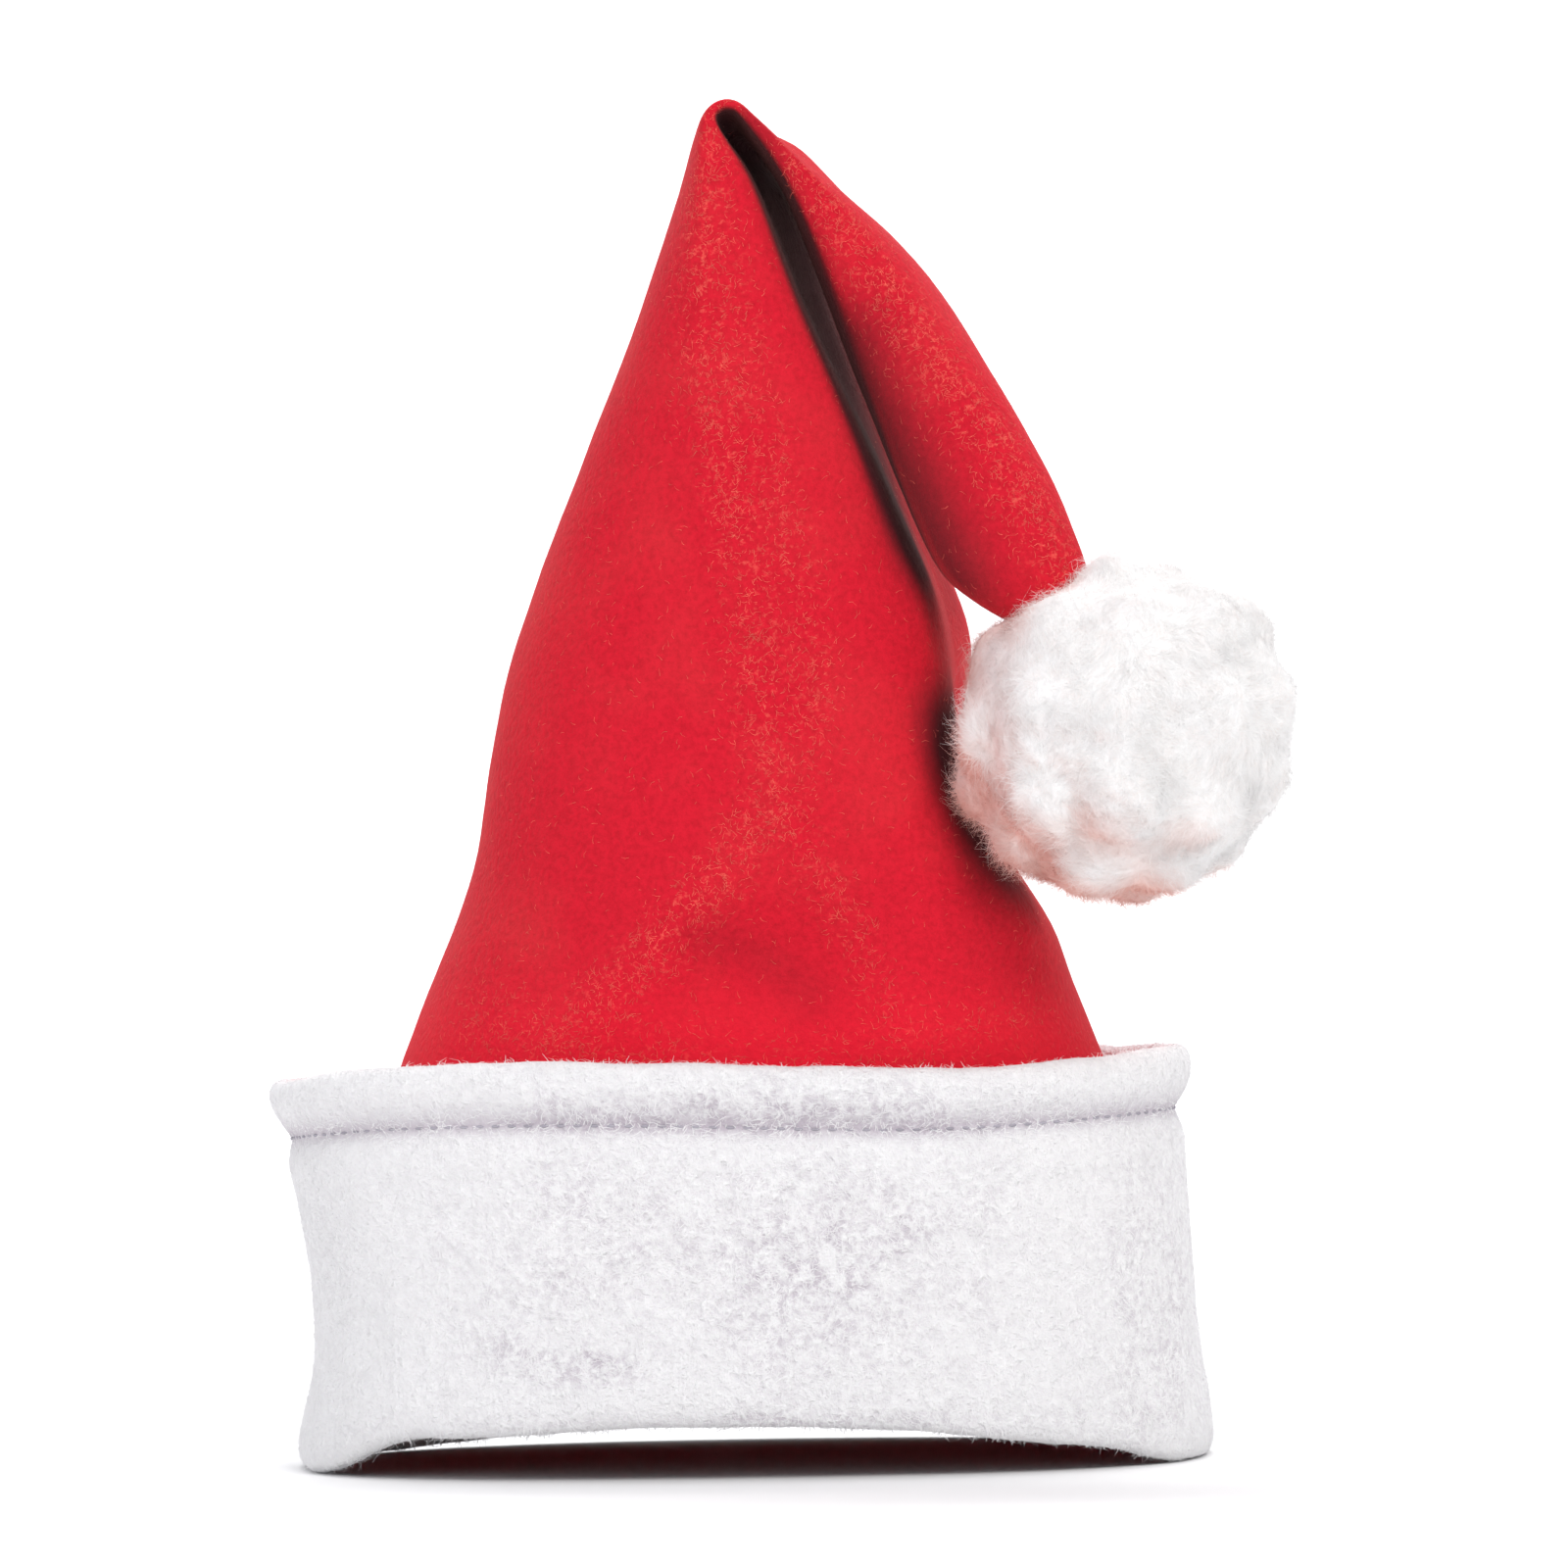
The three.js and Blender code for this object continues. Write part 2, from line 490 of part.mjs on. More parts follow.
// One panel of the crown, the front or the back half of every section. Each ring runs along its outer face
// and back along its inner one, and stops short of the other panel at both side seams.
function makePanel(isFront) {
  const stations = crownStations();
  const ridge = ridgeOf(stations);
  const half = AROUND / 2;
  const aside = (isFront ? -1 : 1) * (CLEARANCE / 2);
  const span = (ring) => {
    const points = Array.from({ length: half + 1 }, (_, k) => ring[(k + (isFront ? half : 0)) % AROUND]);
    points[0].y += aside;
    points[half].y += aside;
    return points;
  };
  const rings = stations.map((row, k) => {
    const outer = span(crownRing(row, 0, k < ridge));
    const inner = span(crownRing(row, FELT, k < ridge));
    return [...outer, ...inner.reverse()];
  });
  return skinThrough(rings, "strips");
}

function makeCuff() {
  return skinThrough(TURNS.map(cuffSlice).reverse(), "joined");
}

const wasm = await Module();
wasm.setup();

function toSolid(geometry) {
  const bare = new THREE.BufferGeometry().setAttribute("position", geometry.getAttribute("position"));
  bare.setIndex(geometry.index);
  const merged = mergeVertices(bare, 1e-4);
  return new wasm.Manifold(new wasm.Mesh({
    numProp: 3,
    vertProperties: Float32Array.from(merged.attributes.position.array),
    triVerts: Uint32Array.from(merged.index.array),
  }));
}

function toGeometry(solid) {
  const mesh = solid.getMesh();
  return new THREE.BufferGeometry()
    .setAttribute("position", new THREE.BufferAttribute(Float32Array.from(mesh.vertProperties), mesh.numProp))
    .setIndex(new THREE.BufferAttribute(Uint32Array.from(mesh.triVerts), 1));
}

function lockGeometry(reach) {
  const half = LOCK_WIDTH / 2;
  const corners = LOCK_PROFILE.map(({ wide, out }) => new THREE.Vector2(wide * half, out * reach));
  return new THREE.LatheGeometry(corners, LOCK_SIDES);
}

// The pompom: locks spread evenly over a round head, and a pocket that takes the tail's tip.
function makePompom() {
  const radius = POMPOM_DIAMETER / 2;
  let ball = toSolid(new THREE.IcosahedronGeometry(HEAD_SHARE * radius, 3));
  const goldenTurn = Math.PI * (3 - Math.sqrt(5));
  for (let k = 0; k < LOCK_COUNT; k++) {
    const rise = 1 - (2 * (k + 0.5)) / LOCK_COUNT;
    const level = Math.sqrt(1 - rise * rise);
    const out = new THREE.Vector3(level * Math.cos(k * goldenTurn), level * Math.sin(k * goldenTurn), rise);
    const reach = radius * (1 - LOCK_VARIATION * (0.5 + 0.5 * Math.sin(k)));
    const lock = lockGeometry(reach);
    lock.applyQuaternion(new THREE.Quaternion().setFromUnitVectors(new THREE.Vector3(0, 1, 0), out));
    ball = ball.add(toSolid(lock));
  }
  const placed = toGeometry(ball);
  placed.scale(1, 1, POMPOM_STRETCH);
  placed.rotateY(THREE.MathUtils.degToRad(POMPOM_TURN));
  placed.translate(POMPOM_CENTRE.x, POMPOM_CENTRE.y, POMPOM_CENTRE.z);
  return toGeometry(toSolid(placed).subtract(tailPocket()));
}

// The tail's last stretch, a clearance larger all round.
function tailPocket() {
  const start = tailLine(POCKET_START, 0);
  const stations = crownStations();
  const tail = stations.slice(ridgeOf(stations));
  const stretch = tail.filter((row) => (row.sideZ + row.slotZ) / 2 < start.y);
  const tip = stretch[stretch.length - 1];
  const push = 2 * CLEARANCE;
  const beyond = {
    ...tip,
    slotX: tip.slotX + TAIL_DOWN.x * push, sideX: tip.sideX + TAIL_DOWN.x * push,
    slotZ: tip.slotZ + TAIL_DOWN.y * push, sideZ: tip.sideZ + TAIL_DOWN.y * push,
  };
  return toSolid(skinThrough([...stretch, beyond].map((row) => crownRing(row, -CLEARANCE, false)), "fans"));
}

function piece(name, geometry, material) {
  geometry.computeVertexNormals();
  const mesh = new THREE.Mesh(geometry, material);
  mesh.name = name;
  return mesh;
}

const hat = new THREE.Group();
hat.add(piece("crown_front", makePanel(true), RED));
hat.add(piece("crown_back", makePanel(false), RED));
hat.add(piece("cuff", makeCuff(), WHITE));
hat.add(piece("pompom", makePompom(), FLEECE));

export default hat;
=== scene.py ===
import math

import bmesh
import bpy
import numpy as np
from bpy.props import FloatProperty, FloatVectorProperty, IntProperty, PointerProperty
from mathutils import Matrix, Vector, kdtree, noise
from mathutils.bvhtree import BVHTree


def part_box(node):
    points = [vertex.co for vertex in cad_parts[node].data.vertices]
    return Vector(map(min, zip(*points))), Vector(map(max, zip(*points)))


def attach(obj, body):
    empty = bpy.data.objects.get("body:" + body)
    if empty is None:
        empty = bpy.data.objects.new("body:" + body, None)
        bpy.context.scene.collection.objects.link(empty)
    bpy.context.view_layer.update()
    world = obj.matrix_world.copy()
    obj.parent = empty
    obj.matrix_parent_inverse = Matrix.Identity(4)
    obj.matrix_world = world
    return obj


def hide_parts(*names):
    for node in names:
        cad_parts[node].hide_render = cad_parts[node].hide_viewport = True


bl_info = {
    "name": "Santa Hat Dresser",
    "version": (1, 0, 0),
    "blender": (4, 5, 0),
    "location": "3D View > Sidebar > Santa Hat",
    "description": "Dresses the hat's crown, cuff and pompom and sets it in a small studio",
    "category": "Object",
}

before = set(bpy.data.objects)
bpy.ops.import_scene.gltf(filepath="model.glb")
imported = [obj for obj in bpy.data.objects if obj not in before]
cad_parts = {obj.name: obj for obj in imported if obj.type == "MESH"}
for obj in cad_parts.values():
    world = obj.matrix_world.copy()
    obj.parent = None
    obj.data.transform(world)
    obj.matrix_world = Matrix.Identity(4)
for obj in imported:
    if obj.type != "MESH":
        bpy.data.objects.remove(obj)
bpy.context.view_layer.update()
MM = 0.001

# Soft ridges on the front of the crown, where the felt is rubbed and its fibres stand up: the line that
# each one follows, seen from the front in millimetres right of the middle and above the floor, its half
# width, how far it stands out and how fuzzy it is.
RIDGES = (
    (
        "left side of the nose",
        ((-6, 312), (-7, 290), (-7, 268), (-3, 245), (0, 225), (3, 205), (5, 185), (8, 160)),
        6, 0.5, 0.8,
    ),
    (
        "right side of the nose",
        ((-2, 285), (4, 255), (10, 228), (15, 205), (18, 185), (14, 168), (9, 157)),
        6, 0.5, 0.55,
    ),
    ("middle of the nose", ((-5, 250), (4, 220), (9, 195), (11, 175)), 8, 0.2, 0.35),
    (
        "fold down to the left",
        ((8, 158), (-4, 142), (-17, 128), (-30, 115), (-41, 104), (-50, 97)),
        6, 1.4, 0.9,
    ),
    ("fold down to the right", ((10, 157), (19, 140), (27, 125), (34, 110), (40, 96)), 5, 1.0, 0.5),
    ("lower left of the crown", ((-62, 108), (-45, 101), (-28, 98), (-10, 97)), 8, 0, 0.6),
    ("lower right of the crown", ((-10, 97), (20, 98), (50, 103), (70, 108)), 6, 0, 0.35),
    ("top of the fold", ((-4, 322), (-6, 312), (-7, 285)), 6, 0, 1),
    (
        "fold along the tail",
        ((14, 308), (25, 296), (36, 280), (45, 266), (56, 250), (65, 236), (72, 222)),
        7, 0.5, 1,
    ),
    ("end of the tail", ((72, 222), (76, 214), (78, 208)), 6, 0, 0.9),
)

# Painted shade on the felt beside and inside the fold and in the hollow above the cuff: the line that it
# follows, seen in the same way, its half width, how dark it is and which part of it is: all, right of the
# line, or far behind it.
PAINTED_SHADES = (
    ("top of the tail", ((4, 318), (11, 301), (18, 284), (25, 266)), 6, 0.45, "right"),
    ("tail beside the fold", ((25, 266), (31, 251), (40, 232), (50, 209)), 11, 0.78, "right"),
    (
        "inside of the fold",
        ((0, 322), (7, 307), (13, 291), (20, 274), (28, 253), (37, 230), (45, 205)),
        7, 0.85, "behind",
    ),
    ("hollow above the cuff", ((-9, 127), (1, 123), (10, 118), (16, 112)), 6, 0.2, "all"),
)

# Painted shade on the cuff in its dents and dimples, under the hem, along the lower edge and at the right
# end:
# the middle of the patch, seen from the front in millimetres right of the middle and above the floor, its
# half width and half height, and how dark it is.
PAINTED_SHADE_PATCHES = (
    ("middle of the cuff", (16, 50), (34, 21), 1.0),
    ("left of the middle", (-28, 58), (30, 24), 0.6),
    ("dimples low on the left", (-39, 27), (15, 4), 1.5),
    ("dimple beside them", (-60, 31), (7, 5), 1.2),
    ("right end", (97, 42), (16, 34), 0.7),
    ("hem in the middle", (2, 87), (52, 6), 1.1),
    ("lower edge", (5, 13), (60, 3), 0.9),
)

# How worn the nap is on the sides and the back, and over how many millimetres that sets in.
WORN_BEHIND = 0.35
WORN_CHANGE = 40

# The crown's side seams, pulled in a little, in millimetres, and how fast that fades beside them.
SEAM_DEPTH = 0.45
SEAM_SHARPNESS = 7

# How much painted shade the pale fleece puts on the felt beside it, as a share of what felt would, and in
# millimetres how far below the pompom's top that starts, over what stretch it sets in, and how far off
# cloth puts painted shade on felt.
FLEECE_SHADE = 0.8
FLEECE_TOP = 22
FLEECE_CHANGE = 15
SHADE_REACH = 45

# Painted light: the felt is painted brightest just over the cuff's rim: how high that is and over what
# stretch it fades, in millimetres, and how bright it is there.
LOW_FELT = 100
LOW_FELT_FADE = 15
LOW_FELT_SHARE = 0.4

# The cuff's rolled hem above its seam, in millimetres. The seam is found from the rim in steps round the
# cuff: how many, how far to each side one looks, as an angle, and over how many the rim is evened out.
HEM_TALL = 15
SEAM_STEPS = 120
RIM_LOOK = 0.17
RIM_EVENED = 6

# The cuff's relief along its seam: how far above the seam each band lies, its half width and how far it
# stands out, in millimetres, and how much the puckers change that.
CUFF_BANDS = (
    ("puffed hem", 8, 5, 1.1, 0.5),
    ("sag under the seam", -7, 4, 0.7, 0),
    ("pinched seam", 0, 1.9, -0.9, -0.5),
)

# How far fibres stay above the floor, in millimetres.
LEAST_HEIGHT = 0.05

# The side of the pompom, down and to the left, on which red bounce light and shade are painted, and how far
# a surface turns that way before they are.
LOW_SIDE = (-0.6, 0, -0.8)
LOW_SIDE_START = 0.3

# The soft lights outside the frame: place, point that it faces, size, power and colour.
LIGHTS = (
    ("key", (0.9, -1.9, 1.7), (0, 0, 0.15), 1, 33, (1, 0.985, 0.97)),
    ("fill", (-1.8, -1.6, 0.8), (0, 0, 0.15), 1.4, 11.5, (0.955, 0.96, 1)),
    ("backdrop", (0, 1.2, 2.6), (0, 3.5, 0.5), 2, 130, (1, 1, 1)),
)

# Blender's noise vectors follow the clock unless they are given a seed.
NOISE_SEED = 1


class CrownSettings(bpy.types.PropertyGroup):
    """Looks of the red felt crown."""

    felt_colour: FloatVectorProperty(
        name="Felt", description="Colour of the felt in full light", subtype="COLOR",
        size=3, min=0, max=1, default=(0.645, 0.0098, 0.027),
    )
    shade_colour: FloatVectorProperty(
        name="Felt between fibres", description="Colour deep between the felt's fibres", subtype="COLOR",
        size=3, min=0, max=1, default=(0.515, 0.0075, 0.0203),
    )
    # Painted shade: the colour painted where the felt lies in the fold, beside it and beside the pompom.
    painted_shade_colour: FloatVectorProperty(
        name="Felt in the fold", description="Colour where the felt lies deep between two layers",
        subtype="COLOR", size=3, min=0, max=1, default=(0.05, 0.007, 0.011),
    )
    fuzz_colour: FloatVectorProperty(
        name="Fuzz", description="Colour of the loose fibres that stand off the felt", subtype="COLOR",
        size=3, min=0, max=1, default=(0.95, 0.17, 0.12),
    )
    grain: FloatProperty(
        name="Felt grain", description="Width of the finest tufts in the felt", unit="LENGTH",
        default=0.0009, min=0.0002,
    )
    fuzz_count: IntProperty(
        name="Fuzz fibres", description="Loose fibres over the whole crown", default=36000, min=0,
    )


class CuffSettings(bpy.types.PropertyGroup):
    """Looks of the white plush cuff."""

    plush_colour: FloatVectorProperty(
        name="Plush", description="Colour of the plush in full light", subtype="COLOR",
        size=3, min=0, max=1, default=(0.99, 0.985, 0.988),
    )
    # Painted shade and matted nap share this colour.
    matted_and_shade_colour: FloatVectorProperty(
        name="Matted plush", description="Colour where the nap is pressed down", subtype="COLOR",
        size=3, min=0, max=1, default=(0.6, 0.54, 0.6),
    )
    thread_colour: FloatVectorProperty(
        name="Thread", description="Colour of the hem's stitches", subtype="COLOR",
        size=3, min=0, max=1, default=(0.42, 0.4, 0.45),
    )
    stitch_length: FloatProperty(
        name="Stitch", description="Length of one stitch of the hem", unit="LENGTH",
        default=0.0022, min=0.001,
    )
    stitch_gap: FloatProperty(
        name="Stitch gap", description="Cloth between two stitches", unit="LENGTH",
        default=0.0018, min=0.0002,
    )
    thread_width: FloatProperty(
        name="Thread width", description="Thickness of the hem's thread", unit="LENGTH",
        default=0.0004, min=0.0001,
    )
    nap_count: IntProperty(
        name="Nap fibres", description="Fibres in the lower layer of the nap; the upper has half of them",
        default=46000, min=0,
    )


class PompomSettings(bpy.types.PropertyGroup):
    """Looks of the fleece pompom."""

    fleece_colour: FloatVectorProperty(
        name="Fleece", description="Colour of the fleece in full light", subtype="COLOR",
        size=3, min=0, max=1, default=(0.925, 0.92, 0.915),
    )
    # Painted shade, a little warm, deep between the tufts, where the bump is lowest.
    tuft_shade_colour: FloatVectorProperty(
        name="Deep fleece", description="Colour deep between the tufts", subtype="COLOR",
        size=3, min=0, max=1, default=(0.87, 0.83, 0.81),
    )
    # Painted red bounce light and shade on the side that faces the red felt and underneath.
    painted_bounce_colour: FloatVectorProperty(
        name="Warm fleece", description="Colour on the side that faces the red felt", subtype="COLOR",
        size=3, min=0, max=1, default=(0.82, 0.53, 0.46),
    )
    tuft_depth: FloatProperty(
        name="Tuft depth", description="How far the small tufts on the locks stand out", unit="LENGTH",
        default=0.0011, min=0,
    )
    fibre_count: IntProperty(
        name="Fleece fibres", description="Fibres in the lower layer; the upper has half of them",
        default=31000, min=0,
    )


class StudioSettings(bpy.types.PropertyGroup):
    """Camera and light."""

    frame_width: FloatProperty(
        name="Frame width", description="Width that the picture takes in at the hat's middle",
        unit="LENGTH", default=0.376, min=0.05,
    )
    camera_distance: FloatProperty(
        name="Camera distance", description="From the hat's middle to the camera", unit="LENGTH",
        default=3.0, min=0.5,
    )
    camera_height: FloatProperty(
        name="Camera height", description="Above the surface that the hat stands on", unit="LENGTH",
        default=0.2, min=0,
    )
    camera_roll: FloatProperty(
        name="Camera roll", description="How far the picture is turned", subtype="ANGLE",
        default=math.radians(0.92),
    )


# Materials


def new_material(name, roughness, sheen, sheen_tint):
    """A material with its shader, its object coordinates and a helper that adds and wires nodes."""
    material = bpy.data.materials.new(name)
    material.use_nodes = True
    nodes, links = material.node_tree.nodes, material.node_tree.links
    shader = nodes["Principled BSDF"]
    shader.inputs["Roughness"].default_value = roughness
    shader.inputs["Sheen Weight"].default_value = sheen
    shader.inputs["Sheen Roughness"].default_value = 0.5
    shader.inputs["Sheen Tint"].default_value = (*sheen_tint, 1)
    shader.inputs["Specular IOR Level"].default_value = 0.15
    place = nodes.new("ShaderNodeTexCoord").outputs["Object"]

    def node(kind, inputs, **settings):
        made = nodes.new(kind)
        for key, value in settings.items():
            setattr(made, key, value)
        for key, value in inputs.items():
            if isinstance(value, bpy.types.NodeSocket):
                links.new(value, made.inputs[key])
            else:
                made.inputs[key].default_value = value
        return made

    return material, shader, place, node, links


def mottle(node, place, size, detail=4, roughness=0.6):
    """Noise whose lumps are about that size in metres."""
    inputs = {"Vector": place, "Scale": 0.6 / size, "Detail": detail, "Roughness": roughness}
    return node("ShaderNodeTexNoise", inputs).outputs["Fac"]


def stored(node, name):
    """The value that each vertex stores under that name."""
    return node("ShaderNodeAttribute", {}, attribute_name=name).outputs["Fac"]


def maths(node, operation, first, second, **settings):
    """Two values added or multiplied."""
    return node("ShaderNodeMath", {0: first, 1: second}, operation=operation, **settings).outputs[0]


def ramp(node, value, low, high):
    """Value stretched so that low becomes 0 and high becomes 1."""
    made = node("ShaderNodeMapRange", {"Value": value, "From Min": low, "From Max": high})
    return made.outputs["Result"]


def mix(node, factor, first, second):
    """Colour between two colours."""
    made = node("ShaderNodeMix", {"Factor": factor}, data_type="RGBA")
    for socket, value in ((made.inputs[6], first), (made.inputs[7], second)):
        if isinstance(value, bpy.types.NodeSocket):
            made.id_data.links.new(value, socket)
        else:
            socket.default_value = (*value, 1)
    return made.outputs[2]


def felt_material(settings):
    """Dense felt in two reds, lighter where rubbed, with painted light over the cuff, painted shade and a
    fine bump.
    """
    material, shader, place, node, links = new_material("red_felt", 0.95, 0.12, (1, 0.4, 0.35))
    tufts = mottle(node, place, settings.grain, detail=3)
    patches = mottle(node, place, 0.02, detail=2)
    base = mix(node, ramp(node, tufts, 0.3, 0.62), settings.shade_colour[:], settings.felt_colour[:])
    strands = mottle(node, place, 1.1 * settings.grain, detail=2, roughness=0.8)
    lit = maths(node, "MULTIPLY", ramp(node, strands, 0.55, 0.72), 0.5)
    worn = maths(node, "MULTIPLY", lit, stored(node, "rubbed"))
    faint = maths(node, "MULTIPLY", ramp(node, patches, 0.45, 0.75), 0.06)
    rubbed_felt = mix(node, maths(node, "ADD", worn, faint), base, settings.fuzz_colour[:])
    # Painted light: brighter felt just over the cuff's rim.
    bright = [min(1, 1.45 * c) for c in settings.felt_colour]
    open_felt = mix(node, stored(node, "low"), rubbed_felt, bright)
    # Painted shade in the fold, beside it, beside the pompom and in the hollow.
    felt = mix(node, stored(node, "painted_shade"), open_felt, settings.painted_shade_colour[:])
    links.new(felt, shader.inputs["Base Color"])
    bump = node("ShaderNodeBump", {"Height": tufts, "Strength": 0.7, "Distance": 0.0007})
    links.new(bump.outputs["Normal"], shader.inputs["Normal"])
    return material


def plush_material(settings):
    """White plush, grey and lilac where its nap is matted and where shade is painted, with a woolly bump.
    """
    material, shader, place, node, links = new_material("white_plush", 0.95, 0.2, (1, 1, 1))
    tufts = mottle(node, place, 0.0013, detail=4, roughness=0.7)
    clumps = mottle(node, place, 0.005, detail=3)
    patches = mottle(node, place, 0.02, detail=3)
    fine = ramp(node, tufts, 0.6, 0.4)
    clumpy = ramp(node, clumps, 0.25, 0.75)
    patchy = ramp(node, patches, 0.5, 0.8)
    # The stored "worn" value is painted shade on the front, fading into matted nap on the sides and back.
    worn = maths(node, "MULTIPLY", clumpy, stored(node, "worn"))
    least = maths(node, "ADD", maths(node, "MULTIPLY", patchy, 0.3), 0.12)
    spotty = maths(node, "MULTIPLY", maths(node, "ADD", worn, least, use_clamp=True), fine)
    matted = maths(node, "ADD", spotty, stored(node, "painted_seam_shade"), use_clamp=True)
    plush = mix(node, matted, settings.plush_colour[:], settings.matted_and_shade_colour[:])
    links.new(plush, shader.inputs["Base Color"])
    height = maths(node, "ADD", tufts, clumps)
    bump = node("ShaderNodeBump", {"Height": height, "Strength": 1.0, "Distance": 0.0022})
    links.new(bump.outputs["Normal"], shader.inputs["Normal"])
    return material


def fibre_material(name, colour, roughness, spread, glow=0.0, tint=None):
    """Loose fibres in a colour that varies from tuft to tuft.

    Glow is the share of them that light passes through, and tint the painted red bounce light and shade
    that they take where that is stored as 1.
    """
    material, shader, place, node, links = new_material(name, roughness, 0.1, (1, 1, 1))
    tufts = mottle(node, place, 0.004, detail=2)
    darker = [c * (1 - spread) for c in colour]
    shade = mix(node, ramp(node, tufts, 0.35, 0.65), darker, colour)
    # Painted red bounce light and shade, where it is stored.
    if tint:
        shade = mix(node, stored(node, "painted_red_bounce"), shade, tint)
    links.new(shade, shader.inputs["Base Color"])
    if glow:
        through = node("ShaderNodeBsdfTranslucent", {"Color": shade}).outputs[0]
        both = node("ShaderNodeMixShader", {"Fac": glow, 1: shader.outputs[0], 2: through}).outputs[0]
        links.new(both, material.node_tree.nodes["Material Output"].inputs["Surface"])
    return material


def fleece_material(settings):
    """The pompom's packed fleece under its loose fibres, with painted shade, a little warmer, deep between
    the tufts, and painted red bounce light and shade.
    """
    material, shader, place, node, links = new_material("white_fleece", 1, 0.3, (1, 1, 1))
    tufts = mottle(node, place, 0.0025, detail=4, roughness=0.7)
    # Painted shade deep between the tufts, where the bump is lowest.
    fleece = mix(node, ramp(node, tufts, 0.35, 0.6), settings.tuft_shade_colour[:], settings.fleece_colour[:])
    # Painted red bounce light and shade where the felt fills the open space over the fleece and underneath.
    warmed = mix(node, stored(node, "painted_red_bounce"), fleece, settings.painted_bounce_colour[:])
    links.new(warmed, shader.inputs["Base Color"])
    bump = node("ShaderNodeBump", {"Height": tufts, "Strength": 0.5, "Distance": 0.001})
    links.new(bump.outputs["Normal"], shader.inputs["Normal"])
    return material


# Meshes


def add_piece(name, mesh, material):
    """Shows a mesh as a piece that rides with the hat and takes its finish from a slot."""
    piece = bpy.data.objects.new(name, mesh)
    bpy.context.scene.collection.objects.link(piece)
    mesh.materials.clear()
    mesh.materials.append(material)
    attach(piece, "root")
    return piece


def merged_copy(node_name):
    """A bmesh copy of a solid, with its corners joined and its triangles paired into four-sided faces."""
    shape = bmesh.new()
    shape.from_mesh(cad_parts[node_name].data)
    bmesh.ops.remove_doubles(shape, verts=shape.verts, dist=0.005 * MM)
    bmesh.ops.join_triangles(
        shape, faces=shape.faces,
        angle_face_threshold=math.radians(50), angle_shape_threshold=math.radians(60),
    )
    return shape


def sewn_copy(first, second, gap=0.3 * MM):
    """A bmesh copy of two panels sewn together where their side edges face each other across that gap.

    The layer "seam" is 1 on the seams and 0 on the corners beside them.
    """
    shape = bmesh.new()
    layer = shape.verts.layers.float.new("seam")
    for name in (first, second):
        shape.from_mesh(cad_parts[name].data)
    bmesh.ops.remove_doubles(shape, verts=shape.verts, dist=0.005 * MM)
    shape.verts.ensure_lookup_table()
    tree = kdtree.KDTree(len(shape.verts))
    for vertex in shape.verts:
        tree.insert(vertex.co, vertex.index)
    tree.balance()
    across = Vector((0, gap, 0))
    pairs = {}
    for vertex in shape.verts:
        _, index, distance = tree.find(vertex.co + across)
        if distance < 0.02 * MM:
            pairs[vertex] = shape.verts[index]
    if not pairs:
        raise RuntimeError("The panels have no edges that face each other")
    seam = set(pairs) | set(pairs.values())
    between = [face for face in shape.faces if seam.issuperset(face.verts)]
    bmesh.ops.delete(shape, geom=between, context="FACES")
    for near, far in pairs.items():
        near.co = far.co = (near.co + far.co) / 2
        far[layer] = 1
    bmesh.ops.weld_verts(shape, targetmap=pairs)
    bmesh.ops.join_triangles(
        shape, faces=shape.faces,
        angle_face_threshold=math.radians(50), angle_shape_threshold=math.radians(60),
    )
    return shape


def refined(shape, levels):
    """A smooth subdivided mesh of that bmesh, which is freed."""
    coarse = bpy.data.meshes.new("coarse")
    shape.to_mesh(coarse)
    shape.free()
    holder = bpy.data.objects.new("holder", coarse)
    bpy.context.scene.collection.objects.link(holder)
    surface = holder.modifiers.new("smooth", "SUBSURF")
    surface.levels = surface.render_levels = levels
    graph = bpy.context.evaluated_depsgraph_get()
    mesh = bpy.data.meshes.new_from_object(holder.evaluated_get(graph))
    bpy.data.objects.remove(holder)
    bpy.data.meshes.remove(coarse)
    mesh.shade_smooth()
    return mesh


def read_vectors(items, attribute):
    """An array with one row for each item's three numbers."""
    values = np.empty(len(items) * 3)
    items.foreach_get(attribute, values)
    return values.reshape(-1, 3)


def push_out(mesh, points, normals, amounts):
    """Moves a mesh's points along their normals by those amounts, in metres."""
    points += normals * amounts[:, None]
    mesh.vertices.foreach_set("co", points.ravel())
    mesh.update()


def lumps(point, size, seed):
    """Smooth noise from -1 to 1 with lumps of about that size."""
    return noise.noise(point / size + Vector((seed, 2.3 * seed, -seed)))


def surface_points(mesh, count, seed):
    """Points spread evenly over a mesh, with the surface's normal at each."""
    rng = np.random.default_rng(seed)
    mesh.calc_loop_triangles()
    corners = np.empty(len(mesh.loop_triangles) * 3, dtype=int)
    mesh.loop_triangles.foreach_get("vertices", corners)
    corners = corners.reshape(-1, 3)
    points = read_vectors(mesh.vertices, "co")
    a, b, c = (points[corners[:, k]] for k in range(3))
    cross = np.cross(b - a, c - a)
    area = np.linalg.norm(cross, axis=1)
    chosen = rng.choice(len(area), size=count, p=area / area.sum())
    u, v = rng.random(count), rng.random(count)
    flip = u + v > 1
    u[flip], v[flip] = 1 - u[flip], 1 - v[flip]
    place = a[chosen] + (b - a)[chosen] * u[:, None] + (c - a)[chosen] * v[:, None]
    normal = cross[chosen] / area[chosen][:, None]
    return place, normal, rng


def unit(vectors):
    """The vectors made one long."""
    return vectors / np.maximum(np.linalg.norm(vectors, axis=1, keepdims=True), 1e-12)


def along_surface(ways, normals):
    """Directions with what points off the surface taken away, made one long."""
    return unit(ways - normals * (ways * normals).sum(axis=1, keepdims=True))


